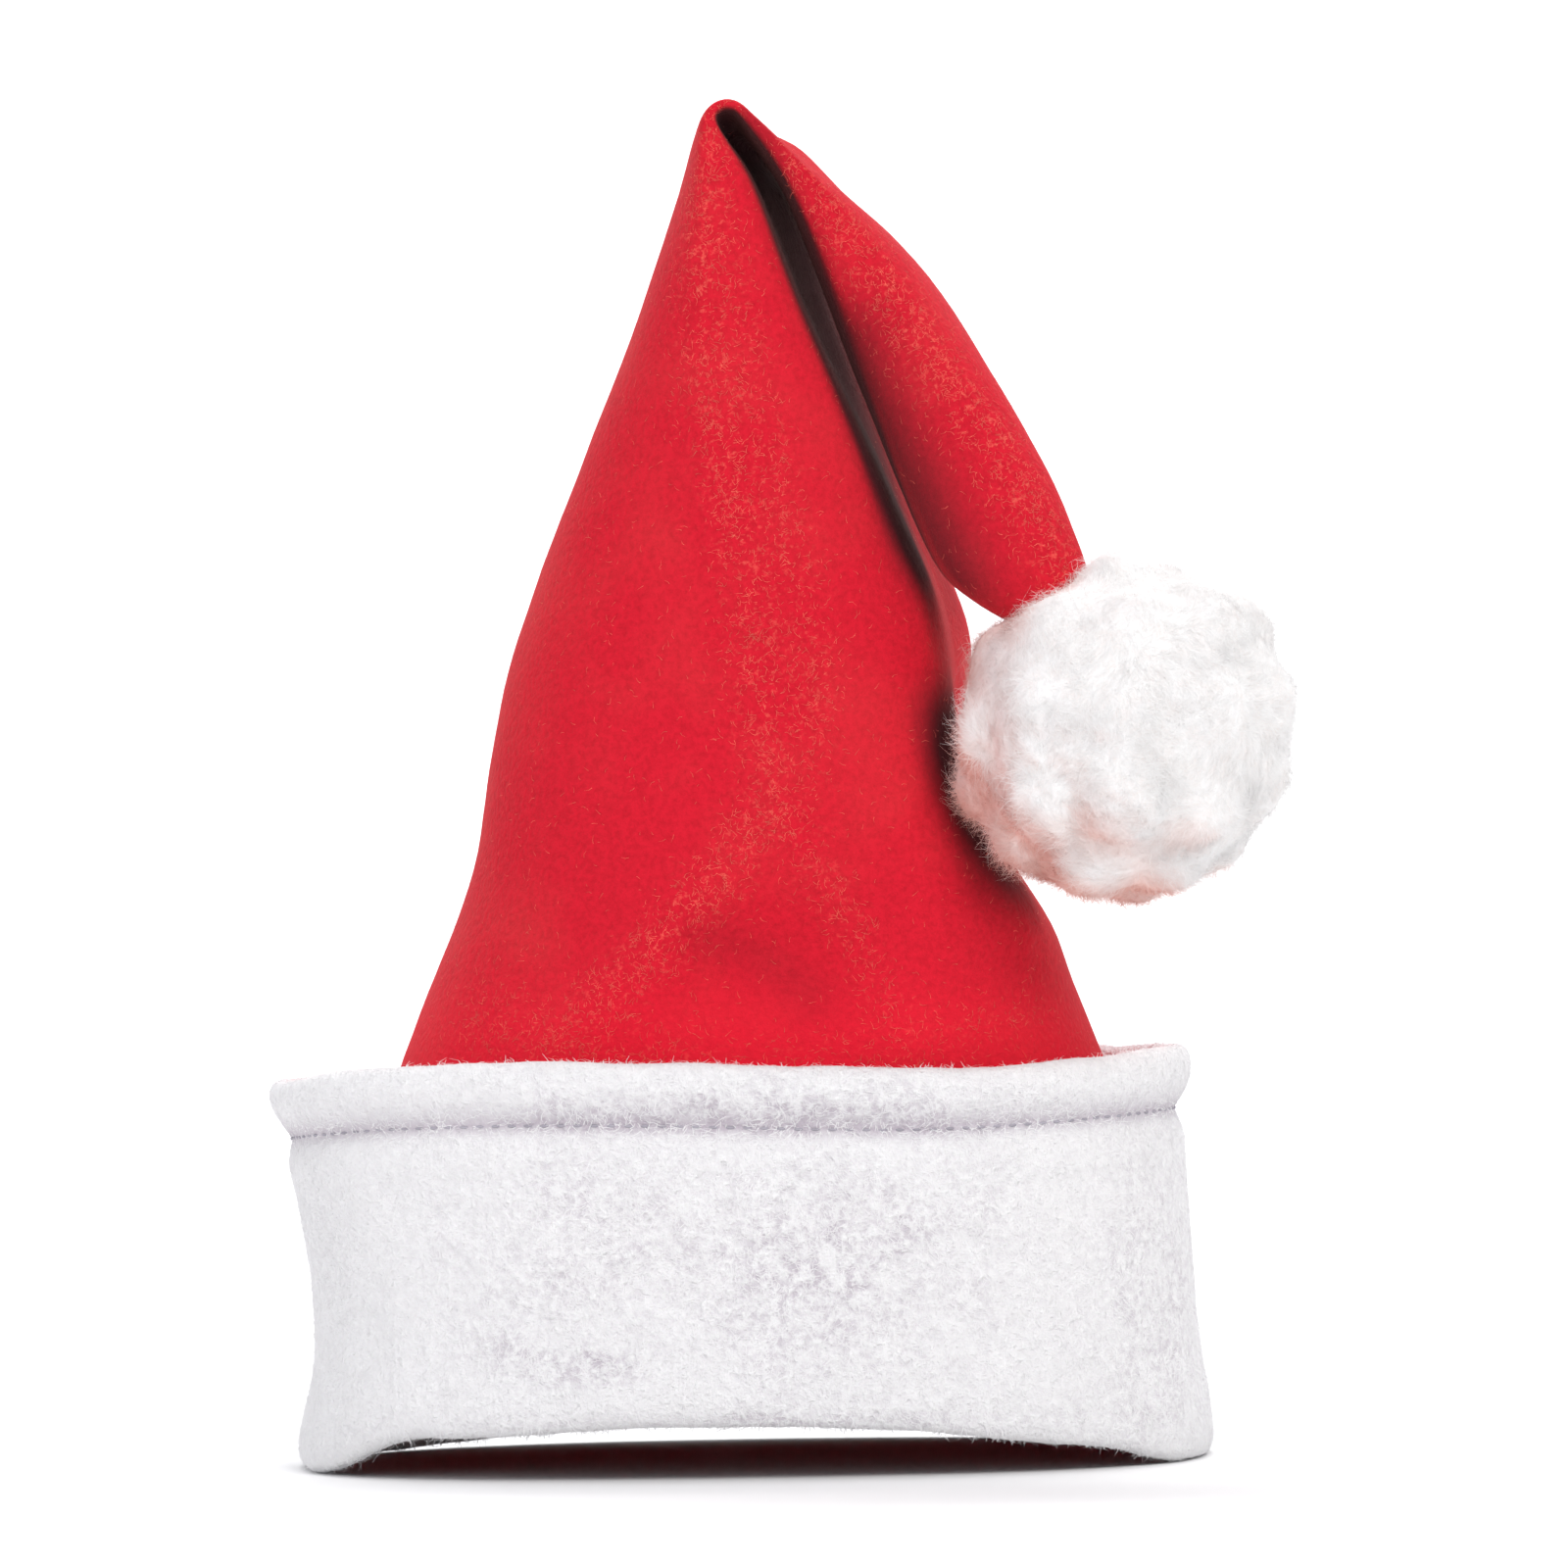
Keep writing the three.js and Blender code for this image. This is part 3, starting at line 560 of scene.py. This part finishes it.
def fibre_mesh(name, roots, outward, lay, lengths, width, bends, curl, rng):
    """Flat tapering fibres in one mesh. Each starts outward at its root and bends over towards lay."""
    count = len(roots)
    side = unit(np.cross(outward, unit(lay + 1e-4 * rng.normal(size=lay.shape))))
    steps = np.linspace(0, 1, bends + 1)
    wave = rng.random(count) * 2 * np.pi
    rows = []
    for step in steps:
        reach = lengths * step
        over = step**1.6
        path = outward * (reach * (1 - 0.55 * over))[:, None] + lay * (reach * 0.8 * over)[:, None]
        path += side * (curl * lengths * np.sin(wave + 4 * step) * step)[:, None]
        half = side * (0.5 * width * (1 - 0.75 * step))
        rows += [roots + path - half, roots + path + half]
    vertices = np.stack(rows, axis=1).reshape(-1, 3)
    vertices[:, 2] = np.maximum(vertices[:, 2], LEAST_HEIGHT * MM)
    stride = 2 * len(steps)
    pattern = np.array([[2 * k, 2 * k + 1, 2 * k + 3, 2 * k + 2] for k in range(bends)])
    faces = (np.arange(count)[:, None, None] * stride + pattern[None]).reshape(-1, 4)
    mesh = bpy.data.meshes.new(name)
    mesh.vertices.add(len(vertices))
    mesh.vertices.foreach_set("co", vertices.ravel())
    mesh.loops.add(faces.size)
    mesh.loops.foreach_set("vertex_index", faces.ravel())
    mesh.polygons.add(len(faces))
    mesh.polygons.foreach_set("loop_start", np.arange(0, faces.size, 4))
    mesh.update(calc_edges=True)
    mesh.validate()
    mesh.shade_smooth()
    return mesh


def seen_from_outside(mesh, place, normal, nearest=0.0005, open_air=0.03):
    """Which points face open air and not another wall of the same piece close by."""
    tree = face_tree(mesh)
    clear = [
        tree.ray_cast(Vector(p) + nearest * Vector(n), Vector(n), open_air)[0] is None
        for p, n in zip(place, normal)
    ]
    return np.array(clear)


def face_tree(mesh):
    """A search tree of a mesh's faces."""
    faces = [tuple(face.vertices) for face in mesh.polygons]
    return BVHTree.FromPolygons([vertex.co for vertex in mesh.vertices], faces)


def hidden_shares(mesh, tree, reach, rays=56):
    """For each vertex, how much of the open space over it the tree's faces fill within that reach."""
    order = np.arange(rays)
    rise = 1 - (2 * order + 1) / rays
    turn = order * math.pi * (3 - math.sqrt(5))
    level = np.sqrt(1 - rise**2)
    ways = np.stack([level * np.cos(turn), level * np.sin(turn), rise], axis=1)
    vectors = [Vector(way) for way in ways]
    points, normals = read_vectors(mesh.vertices, "co"), read_vectors(mesh.vertices, "normal")
    shares = np.zeros(len(points))
    for k, (point, facing) in enumerate(zip(points, normals @ ways.T)):
        start = Vector(point + 0.4 * MM * normals[k])
        over = np.flatnonzero(facing > 0.1)
        hits = [tree.ray_cast(start, vectors[j], reach)[0] is not None for j in over]
        shares[k] = facing[over] @ np.array(hits) / facing[over].sum()
    return shares


def evened(mesh, values, passes=8):
    """One value for each vertex, averaged with its neighbours' so that single rays don't show."""
    ends = np.empty(2 * len(mesh.edges), dtype=int)
    mesh.edges.foreach_get("vertices", ends)
    ends = ends.reshape(-1, 2)
    met = np.bincount(ends.ravel(), minlength=len(values))
    for _ in range(passes):
        around = np.bincount(ends[:, 0], values[ends[:, 1]], len(values))
        around += np.bincount(ends[:, 1], values[ends[:, 0]], len(values))
        values = (values + around / met) / 2
    return values


def read_values(mesh, name):
    """The number stored for each vertex under that name."""
    values = np.empty(len(mesh.vertices))
    mesh.attributes[name].data.foreach_get("value", values)
    return values


def nearest_values(mesh, name, place):
    """The number stored under that name at the vertex nearest to each place."""
    tree = kdtree.KDTree(len(mesh.vertices))
    for vertex in mesh.vertices:
        tree.insert(vertex.co, vertex.index)
    tree.balance()
    values = read_values(mesh, name)
    return np.array([values[tree.find(point)[1]] for point in place])


def keep_values(mesh, name, values):
    """Stores one number for each vertex under a name that a material can read."""
    mesh.attributes.new(name, "FLOAT", "POINT").data.foreach_set("value", values)


# Pieces


def distance_to_line(points, line):
    """How far points lie from a line of straight stretches, both in the plane seen from the front."""
    corners = np.array(line, dtype=float) * MM
    nearest = np.full(len(points), np.inf)
    for start, end in zip(corners, corners[1:]):
        along = end - start
        share = np.clip(((points - start) @ along) / (along @ along), 0, 1)
        nearest = np.minimum(nearest, np.linalg.norm(points - start - share[:, None] * along, axis=1))
    return nearest


def ridges_at(points, normals):
    """How far the ridges push the felt's front out at each point, in metres, and how rubbed it is."""
    front = np.clip(-1.6 * normals[:, 1] - 0.1, 0, 1)
    seen = points[:, [0, 2]]
    out, rubbed = np.zeros(len(points)), np.zeros(len(points))
    for _, line, width, height, fuzz in RIDGES:
        near = np.exp(-((distance_to_line(seen, line) / (width * MM)) ** 2))
        out += height * MM * near
        rubbed = np.maximum(rubbed, fuzz * near)
    return out * front, rubbed * front


def painted_shades_at(points, normals, around):
    """How much shade is painted on the felt at each point: beside and in the fold and in the hollow.

    Around is how much of the open space over each point is filled.
    """
    front = np.clip(-2 * normals[:, 1], 0, 1)
    behind = np.clip((points[:, 1] / MM + 16) / 8, 0, 1) * np.clip((around - 0.15) / 0.2, 0, 1)
    seen = points[:, [0, 2]]
    shade = np.zeros(len(points))
    for _, line, width, darkness, part in PAINTED_SHADES:
        near = darkness * np.exp(-((distance_to_line(seen, line) / (width * MM)) ** 2))
        near *= behind if part == "behind" else front
        if part == "right":
            corners = np.array(line[::-1], dtype=float) * MM
            near[seen[:, 0] < np.interp(seen[:, 1], corners[:, 1], corners[:, 0]) - 2 * MM] = 0
        shade = np.maximum(shade, near)
    return shade


def crown_mesh():
    """The crown's felt, with soft ridges. It stores where it is rubbed and its painted light and shade."""
    mesh = refined(sewn_copy("crown_front", "crown_back"), 2)
    points, normals = read_vectors(mesh.vertices, "co"), read_vectors(mesh.vertices, "normal")
    out, rubbed = ridges_at(points, normals)
    uneven = [0.3 * lumps(Vector(p), 0.022, 3) + 0.1 * lumps(Vector(p), 0.006, 8) for p in points]
    groove = SEAM_DEPTH * MM * read_values(mesh, "seam") ** SEAM_SHARPNESS
    push_out(mesh, points, normals, out + MM * np.array(uneven) - groove)
    keep_values(mesh, "rubbed", rubbed)
    # Painted light just over the cuff's rim.
    off = (points[:, 2] / MM - LOW_FELT) / LOW_FELT_FADE
    keep_values(mesh, "low", LOW_FELT_SHARE * np.exp(-(off**2)))
    # Painted shade where the crown and the pompom fill the open space over the felt, and along the listed
    # lines.
    below_top = (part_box("pompom")[1][2] - points[:, 2]) / MM
    beside = np.clip((below_top - FLEECE_TOP) / FLEECE_CHANGE, 0, 1)
    ball = face_tree(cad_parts["pompom"].data)
    around = hidden_shares(mesh, face_tree(mesh), SHADE_REACH * MM)
    around += FLEECE_SHADE * beside * hidden_shares(mesh, ball, SHADE_REACH * MM)
    around = evened(mesh, around)
    deep = np.clip((around - 0.2) / 0.45, 0, 1)
    deep = deep * deep * (3 - 2 * deep)
    keep_values(mesh, "painted_shade", 1 - (1 - deep) * (1 - painted_shades_at(points, normals, around)))
    return mesh


class HAT_OT_crown(bpy.types.Operator):
    """Makes the red felt crown in place of its solid"""

    bl_idname = "santa_hat.crown"
    bl_label = "Felt crown"

    def execute(self, context):
        settings = context.scene.hat_crown
        piece = add_piece("felt_crown", crown_mesh(), felt_material(settings))
        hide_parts("crown_front", "crown_back")
        return {"FINISHED"}


class HAT_OT_crown_fuzz(bpy.types.Operator):
    """Adds the loose fibres that stand off the felt"""

    bl_idname = "santa_hat.crown_fuzz"
    bl_label = "Felt fuzz"

    def execute(self, context):
        settings = context.scene.hat_crown
        felt = bpy.data.objects["felt_crown"].data
        place, normal, rng = surface_points(felt, 12 * settings.fuzz_count, 11)
        rubbed = ridges_at(place, normal)[1]
        patchy = np.array([0.6 + 0.9 * lumps(Vector(p), 0.003, 9) for p in place])
        wanted = rng.random(len(place)) < np.clip(0.022 + 0.8 * rubbed * patchy, 0, 1)
        wanted &= place[:, 2] > 0.085
        place, normal = place[wanted], normal[wanted]
        shown = seen_from_outside(felt, place, normal)
        place, normal = place[shown][: settings.fuzz_count], normal[shown][: settings.fuzz_count]
        lay = unit(rng.normal(size=place.shape) + [0, 0, 0.4])
        lay = along_surface(lay, normal)
        lengths = rng.uniform(0.5, 1.7, len(place)) * MM
        outward = unit(normal * 0.4 + lay * 0.9)
        mesh = fibre_mesh("felt_fuzz", place, outward, lay, lengths, 0.11 * MM, 2, 0.3, rng)
        material = fibre_material("red_fuzz", settings.fuzz_colour[:], 0.8, 0.35)
        add_piece("felt_fuzz", mesh, material)
        return {"FINISHED"}


def seam_heights(turns):
    """The height of the hem's seam at those angles round the hat, seen from above."""
    corners = read_vectors(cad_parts["cuff"].data.vertices, "co")
    angles = np.arctan2(corners[:, 1], corners[:, 0])
    steps = np.arange(SEAM_STEPS + 1) / SEAM_STEPS * 2 * math.pi
    rims = []
    for middle in steps[:-1]:
        off = np.abs((angles - middle + math.pi) % (2 * math.pi) - math.pi)
        rims.append(corners[off < RIM_LOOK, 2].max())
    wrapped = np.concatenate([rims[-RIM_EVENED:], rims, rims[:RIM_EVENED]])
    window = np.ones(2 * RIM_EVENED + 1) / (2 * RIM_EVENED + 1)
    heights = np.convolve(wrapped, window, "valid") - HEM_TALL * MM
    return np.interp(turns, steps, np.append(heights, heights[0]))


def cuff_mesh():
    """The cuff's plush: a puffed hem over a pinched, puckered seam. It stores its painted shade and matted
    nap.
    """
    mesh = refined(merged_copy("cuff"), 2)
    points, normals = read_vectors(mesh.vertices, "co"), read_vectors(mesh.vertices, "normal")
    turns = np.arctan2(points[:, 1], points[:, 0]) % (2 * math.pi)
    above = (points[:, 2] - seam_heights(turns)) / MM
    outer = np.clip((normals * unit(points * [1, 1, 0])).sum(axis=1), 0, 1)
    pucker = np.array([lumps(Vector(p), 0.007, 12) for p in points])
    relief = sum(
        (out + puckered * pucker) * np.exp(-(((above - middle) / width) ** 2))
        for _, middle, width, out, puckered in CUFF_BANDS
    )
    uneven = [0.55 * lumps(Vector(p), 0.02, 5) + 0.35 * lumps(Vector(p), 0.008, 1) for p in points]
    push_out(mesh, points, normals, MM * (np.array(uneven) + outer * relief))
    # Painted shade in the seam's groove under the puffed hem.
    under = 0.55 * np.exp(-((above / 1.5) ** 2)) + 0.4 * np.exp(-(((above - 1.5) / 3.5) ** 2))
    keep_values(mesh, "painted_seam_shade", outer * under)
    # Painted shade in the listed patches on the front, fading into an even level of matted nap on the sides
    # and back.
    worn = np.zeros(len(points))
    for _, (x, z), (wide, tall), amount in PAINTED_SHADE_PATCHES:
        aside, over = (points[:, 0] / MM - x) / wide, (points[:, 2] / MM - z) / tall
        worn = np.maximum(worn, amount * np.exp(-(aside**2) - over**2))
    behind = np.clip(0.5 + points[:, 1] / MM / WORN_CHANGE, 0, 1)
    keep_values(mesh, "worn", outer * (worn * (1 - behind) + WORN_BEHIND * behind))
    return mesh


class HAT_OT_cuff(bpy.types.Operator):
    """Makes the white plush cuff in place of its solid"""

    bl_idname = "santa_hat.cuff"
    bl_label = "Plush cuff"

    def execute(self, context):
        settings = context.scene.hat_cuff
        piece = add_piece("plush_cuff", cuff_mesh(), plush_material(settings))
        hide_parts("cuff")
        return {"FINISHED"}


class HAT_OT_cuff_nap(bpy.types.Operator):
    """Adds the cuff's soft nap"""

    bl_idname = "santa_hat.cuff_nap"
    bl_label = "Cuff nap"

    def execute(self, context):
        settings = context.scene.hat_cuff
        plush = bpy.data.objects["plush_cuff"].data
        material = fibre_material("plush_fibres", settings.plush_colour[:], 0.9, 0.07, 0.3)
        for layer, (share, longest, seed) in enumerate(((1, 2.2, 23), (0.5, 3.2, 29))):
            count = int(share * settings.nap_count)
            place, normal, rng = surface_points(plush, 2 * count, seed)
            shown = seen_from_outside(plush, place, normal)
            place, normal = place[shown][:count], normal[shown][:count]
            swirl = np.array([noise.noise_vector(Vector(p) / 0.009) for p in place])
            lay = swirl + 0.35 * rng.normal(size=place.shape) + [0, 0, -0.15]
            lay = along_surface(lay, normal)
            lengths = rng.uniform(0.5, 1, len(place)) * longest * MM
            outward = unit(normal * 0.3 + lay * 0.8)
            name = f"plush_nap_{layer + 1}"
            mesh = fibre_mesh(name, place, outward, lay, lengths, 0.24 * MM, 2, 0.3, rng)
            add_piece(name, mesh, material)
        return {"FINISHED"}


def seam_line(mesh, count=720):
    """Points along the seam under the rolled hem, all the way round."""
    tree = face_tree(mesh)
    turns = np.arange(count) / count * 2 * math.pi
    line = []
    for turn, height in zip(turns, seam_heights(turns)):
        way = Vector((math.cos(turn), math.sin(turn), 0))
        line.append(tree.ray_cast(way * 0.2 + Vector((0, 0, height)), -way)[0])
    return np.array(line)


class HAT_OT_hem_stitches(bpy.types.Operator):
    """Sews a line of thread stitches under the rolled hem"""

    bl_idname = "santa_hat.hem_stitches"
    bl_label = "Hem stitches"

    def execute(self, context):
        settings = context.scene.hat_cuff
        line = seam_line(bpy.data.objects["plush_cuff"].data)
        line = np.concatenate([line, line[:1]])
        travelled = np.concatenate([[0], np.cumsum(np.linalg.norm(np.diff(line, axis=0), axis=1))])
        count = round(travelled[-1] / (settings.stitch_length + settings.stitch_gap))
        starts = np.arange(count) / count * travelled[-1]
        shape = bmesh.new()
        for start in starts:
            ends = [
                Vector([np.interp(start + part, travelled, line[:, k]) for k in range(3)])
                for part in (0, settings.stitch_length)
            ]
            way = ends[1] - ends[0]
            size = Matrix.Diagonal((settings.thread_width, settings.thread_width, way.length / 2, 1))
            turn = way.to_track_quat("Z", "Y").to_matrix().to_4x4()
            place = Matrix.Translation((ends[0] + ends[1]) / 2)
            bmesh.ops.create_uvsphere(
                shape, u_segments=6, v_segments=5, radius=1, matrix=place @ turn @ size,
            )
        mesh = bpy.data.meshes.new("hem_stitches")
        shape.to_mesh(mesh)
        shape.free()
        mesh.shade_smooth()
        material = fibre_material("hem_thread", settings.thread_colour[:], 0.7, 0.2)
        add_piece("hem_stitches", mesh, material)
        return {"FINISHED"}


def pompom_mesh(settings):
    """The pompom's own locks, softened, with small tufts on them."""
    low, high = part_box("pompom")
    centre = Vector((low + high) / 2)
    tree = face_tree(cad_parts["pompom"].data)
    least = 0.47 * min(high - low)
    shape = bmesh.new()
    bmesh.ops.create_icosphere(shape, subdivisions=7, radius=1)
    for vertex in shape.verts:
        way = vertex.co.normalized()
        hit = tree.ray_cast(centre + 0.2 * way, -way)[0]
        vertex.co = centre + way * max(least, (hit - centre).length)
    for _ in range(45):
        bmesh.ops.smooth_vert(
            shape, verts=shape.verts, factor=0.5, use_axis_x=True, use_axis_y=True, use_axis_z=True,
        )
    mesh = bpy.data.meshes.new("fleece_pompom")
    shape.to_mesh(mesh)
    shape.free()
    mesh.shade_smooth()
    points, normals = read_vectors(mesh.vertices, "co"), read_vectors(mesh.vertices, "normal")
    tufts = []
    for point in map(Vector, points):
        bent = point + noise.noise_vector(point / 0.014) * 0.005
        coarse = lumps(bent, 0.014, 6) + 0.4 * lumps(bent, 0.006, 2)
        tufts.append(coarse + 0.12 * lumps(point, 0.0025, 7))
    push_out(mesh, points, normals, settings.tuft_depth * np.array(tufts))
    # Painted red bounce light and shade: warm and darker where the felt fills the open space over the
    # fleece, and on its lower left side.
    felt = face_tree(bpy.data.objects["felt_crown"].data)
    facing = hidden_shares(mesh, felt, 0.12, rays=20)
    low_side = np.clip(read_vectors(mesh.vertices, "normal") @ LOW_SIDE - LOW_SIDE_START, 0, 1)
    facing = np.clip((evened(mesh, facing) - 0.05) / 0.35, 0, 1)
    keep_values(mesh, "painted_red_bounce", np.clip(0.55 * facing + 0.8 * low_side, 0, 1))
    return mesh


class HAT_OT_pompom(bpy.types.Operator):
    """Makes the fleece pompom in place of its solid"""

    bl_idname = "santa_hat.pompom"
    bl_label = "Fleece pompom"

    def execute(self, context):
        settings = context.scene.hat_pompom
        material = fleece_material(settings)
        piece = add_piece("fleece_pompom", pompom_mesh(settings), material)
        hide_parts("pompom")
        return {"FINISHED"}


class HAT_OT_pompom_fibres(bpy.types.Operator):
    """Adds two layers of loose fibres to the pompom"""

    bl_idname = "santa_hat.pompom_fibres"
    bl_label = "Pompom fibres"

    def execute(self, context):
        settings = context.scene.hat_pompom
        fleece = bpy.data.objects["fleece_pompom"].data
        colours = settings.fleece_colour[:], settings.painted_bounce_colour[:]
        material = fibre_material("fleece_fibres", colours[0], 1, 0.05, 0.3, colours[1])
        for layer, (share, longest, seed) in enumerate(((1, 4, 31), (0.5, 7.5, 37))):
            place, normal, rng = surface_points(fleece, int(share * settings.fibre_count), seed)
            swirl = np.array([noise.noise_vector(Vector(p) / 0.013) for p in place])
            lay = swirl + 0.2 * rng.normal(size=place.shape)
            lay = along_surface(lay, normal)
            lengths = rng.uniform(0.4, 1, len(place)) * longest * MM
            outward = unit(normal * 0.5 + lay * 0.7)
            name = f"pompom_fibres_{layer + 1}"
            mesh = fibre_mesh(name, place, outward, lay, lengths, 0.13 * MM, 3, 0.3, rng)
            # The painted red bounce light and shade, carried over from the fleece.
            painted_red_bounce = nearest_values(fleece, "painted_red_bounce", place)
            keep_values(mesh, "painted_red_bounce", np.repeat(painted_red_bounce, len(mesh.vertices) // len(place)))
            add_piece(name, mesh, material)
        return {"FINISHED"}


# Studio


def add_light(name, place, aim, size, power, colour):
    """A square soft light that faces a point."""
    data = bpy.data.lights.new(name, "AREA")
    data.size = size
    data.energy = power
    data.color = colour
    light = bpy.data.objects.new(name, data)
    light.location = place
    light.rotation_euler = (Vector(aim) - Vector(place)).to_track_quat("-Z", "Y").to_euler()
    bpy.context.scene.collection.objects.link(light)


def sweep_mesh():
    """A wide floor that curves up into a wall well behind the hat."""
    reach, turn, height, steps = 3.5, 0.8, 3.0, 60
    shape = bmesh.new()
    bmesh.ops.create_grid(shape, x_segments=1, y_segments=steps, size=1)
    quarter = turn * math.pi / 2
    front = -4.5
    total = reach - front + quarter + height
    for vertex in shape.verts:
        along = front + (vertex.co.y + 1) / 2 * total
        bend = min(max((along - reach) / turn, 0), math.pi / 2)
        rise = max(0, along - reach - quarter)
        vertex.co = Vector((
            7 * vertex.co.x,
            min(along, reach) + turn * math.sin(bend),
            turn * (1 - math.cos(bend)) + rise,
        ))
    mesh = bpy.data.meshes.new("floor")
    shape.to_mesh(mesh)
    shape.free()
    mesh.shade_smooth()
    return mesh


class HAT_OT_studio(bpy.types.Operator):
    """Sets up the pale floor, the soft lights and the camera"""

    bl_idname = "santa_hat.studio"
    bl_label = "Studio"

    def execute(self, context):
        settings = context.scene.hat_studio
        scene = context.scene
        scene.view_settings.view_transform = "Standard"
        floor = bpy.data.objects.new("floor", sweep_mesh())
        scene.collection.objects.link(floor)
        material = bpy.data.materials.new("pale_floor")
        material.use_nodes = True
        shader = material.node_tree.nodes["Principled BSDF"]
        shader.inputs["Base Color"].default_value = (0.93, 0.93, 0.93, 1)
        shader.inputs["Roughness"].default_value = 1
        shader.inputs["Specular IOR Level"].default_value = 0
        floor.data.materials.append(material)

        world = bpy.data.worlds.new("studio")
        scene.world = world
        world.use_nodes = True
        sky = world.node_tree.nodes["Background"]
        sky.inputs["Color"].default_value = (0.95, 0.955, 1, 1)
        sky.inputs["Strength"].default_value = 0.53
        for light in LIGHTS:
            add_light(*light)

        distance = settings.camera_distance
        data = bpy.data.cameras.new("camera")
        data.sensor_width = 36
        data.lens = data.sensor_width * distance / settings.frame_width
        camera = bpy.data.objects.new("camera", data)
        middle = Vector((0.0101, 0, 0.162))
        camera.location = (middle.x, -distance, settings.camera_height)
        turn = (middle - camera.location).to_track_quat("-Z", "Y").to_matrix()
        roll = Matrix.Rotation(-settings.camera_roll, 3, "Z")
        camera.rotation_euler = (turn @ roll).to_euler()
        data.clip_end = 50
        scene.collection.objects.link(camera)
        scene.camera = camera
        return {"FINISHED"}


OPERATORS = (
    HAT_OT_studio,
    HAT_OT_crown,
    HAT_OT_crown_fuzz,
    HAT_OT_cuff,
    HAT_OT_cuff_nap,
    HAT_OT_hem_stitches,
    HAT_OT_pompom,
    HAT_OT_pompom_fibres,
)
SETTINGS = {
    "hat_crown": CrownSettings,
    "hat_cuff": CuffSettings,
    "hat_pompom": PompomSettings,
    "hat_studio": StudioSettings,
}


class HAT_PT_sidebar(bpy.types.Panel):
    """Lists the hat's pieces and their settings"""

    bl_idname = "HAT_PT_sidebar"
    bl_label = "Santa Hat"
    bl_space_type = "VIEW_3D"
    bl_region_type = "UI"
    bl_category = "Santa Hat"

    def draw(self, context):
        for operator in OPERATORS:
            self.layout.operator(operator.bl_idname)
        for name, group in SETTINGS.items():
            column = self.layout.column()
            for setting in group.__annotations__:
                column.prop(getattr(context.scene, name), setting)


def register():
    noise.seed_set(NOISE_SEED)
    for group in (*SETTINGS.values(), *OPERATORS, HAT_PT_sidebar):
        bpy.utils.register_class(group)
    for name, group in SETTINGS.items():
        setattr(bpy.types.Scene, name, PointerProperty(type=group))


def unregister():
    for name in SETTINGS:
        delattr(bpy.types.Scene, name)
    for group in reversed((*SETTINGS.values(), *OPERATORS, HAT_PT_sidebar)):
        bpy.utils.unregister_class(group)


def main():
    register()
    bpy.ops.santa_hat.studio()
    bpy.ops.santa_hat.crown()
    bpy.ops.santa_hat.crown_fuzz()
    bpy.ops.santa_hat.cuff()
    bpy.ops.santa_hat.cuff_nap()
    bpy.ops.santa_hat.hem_stitches()
    bpy.ops.santa_hat.pompom()
    bpy.ops.santa_hat.pompom_fibres()


if __name__ == "__main__":
    main()
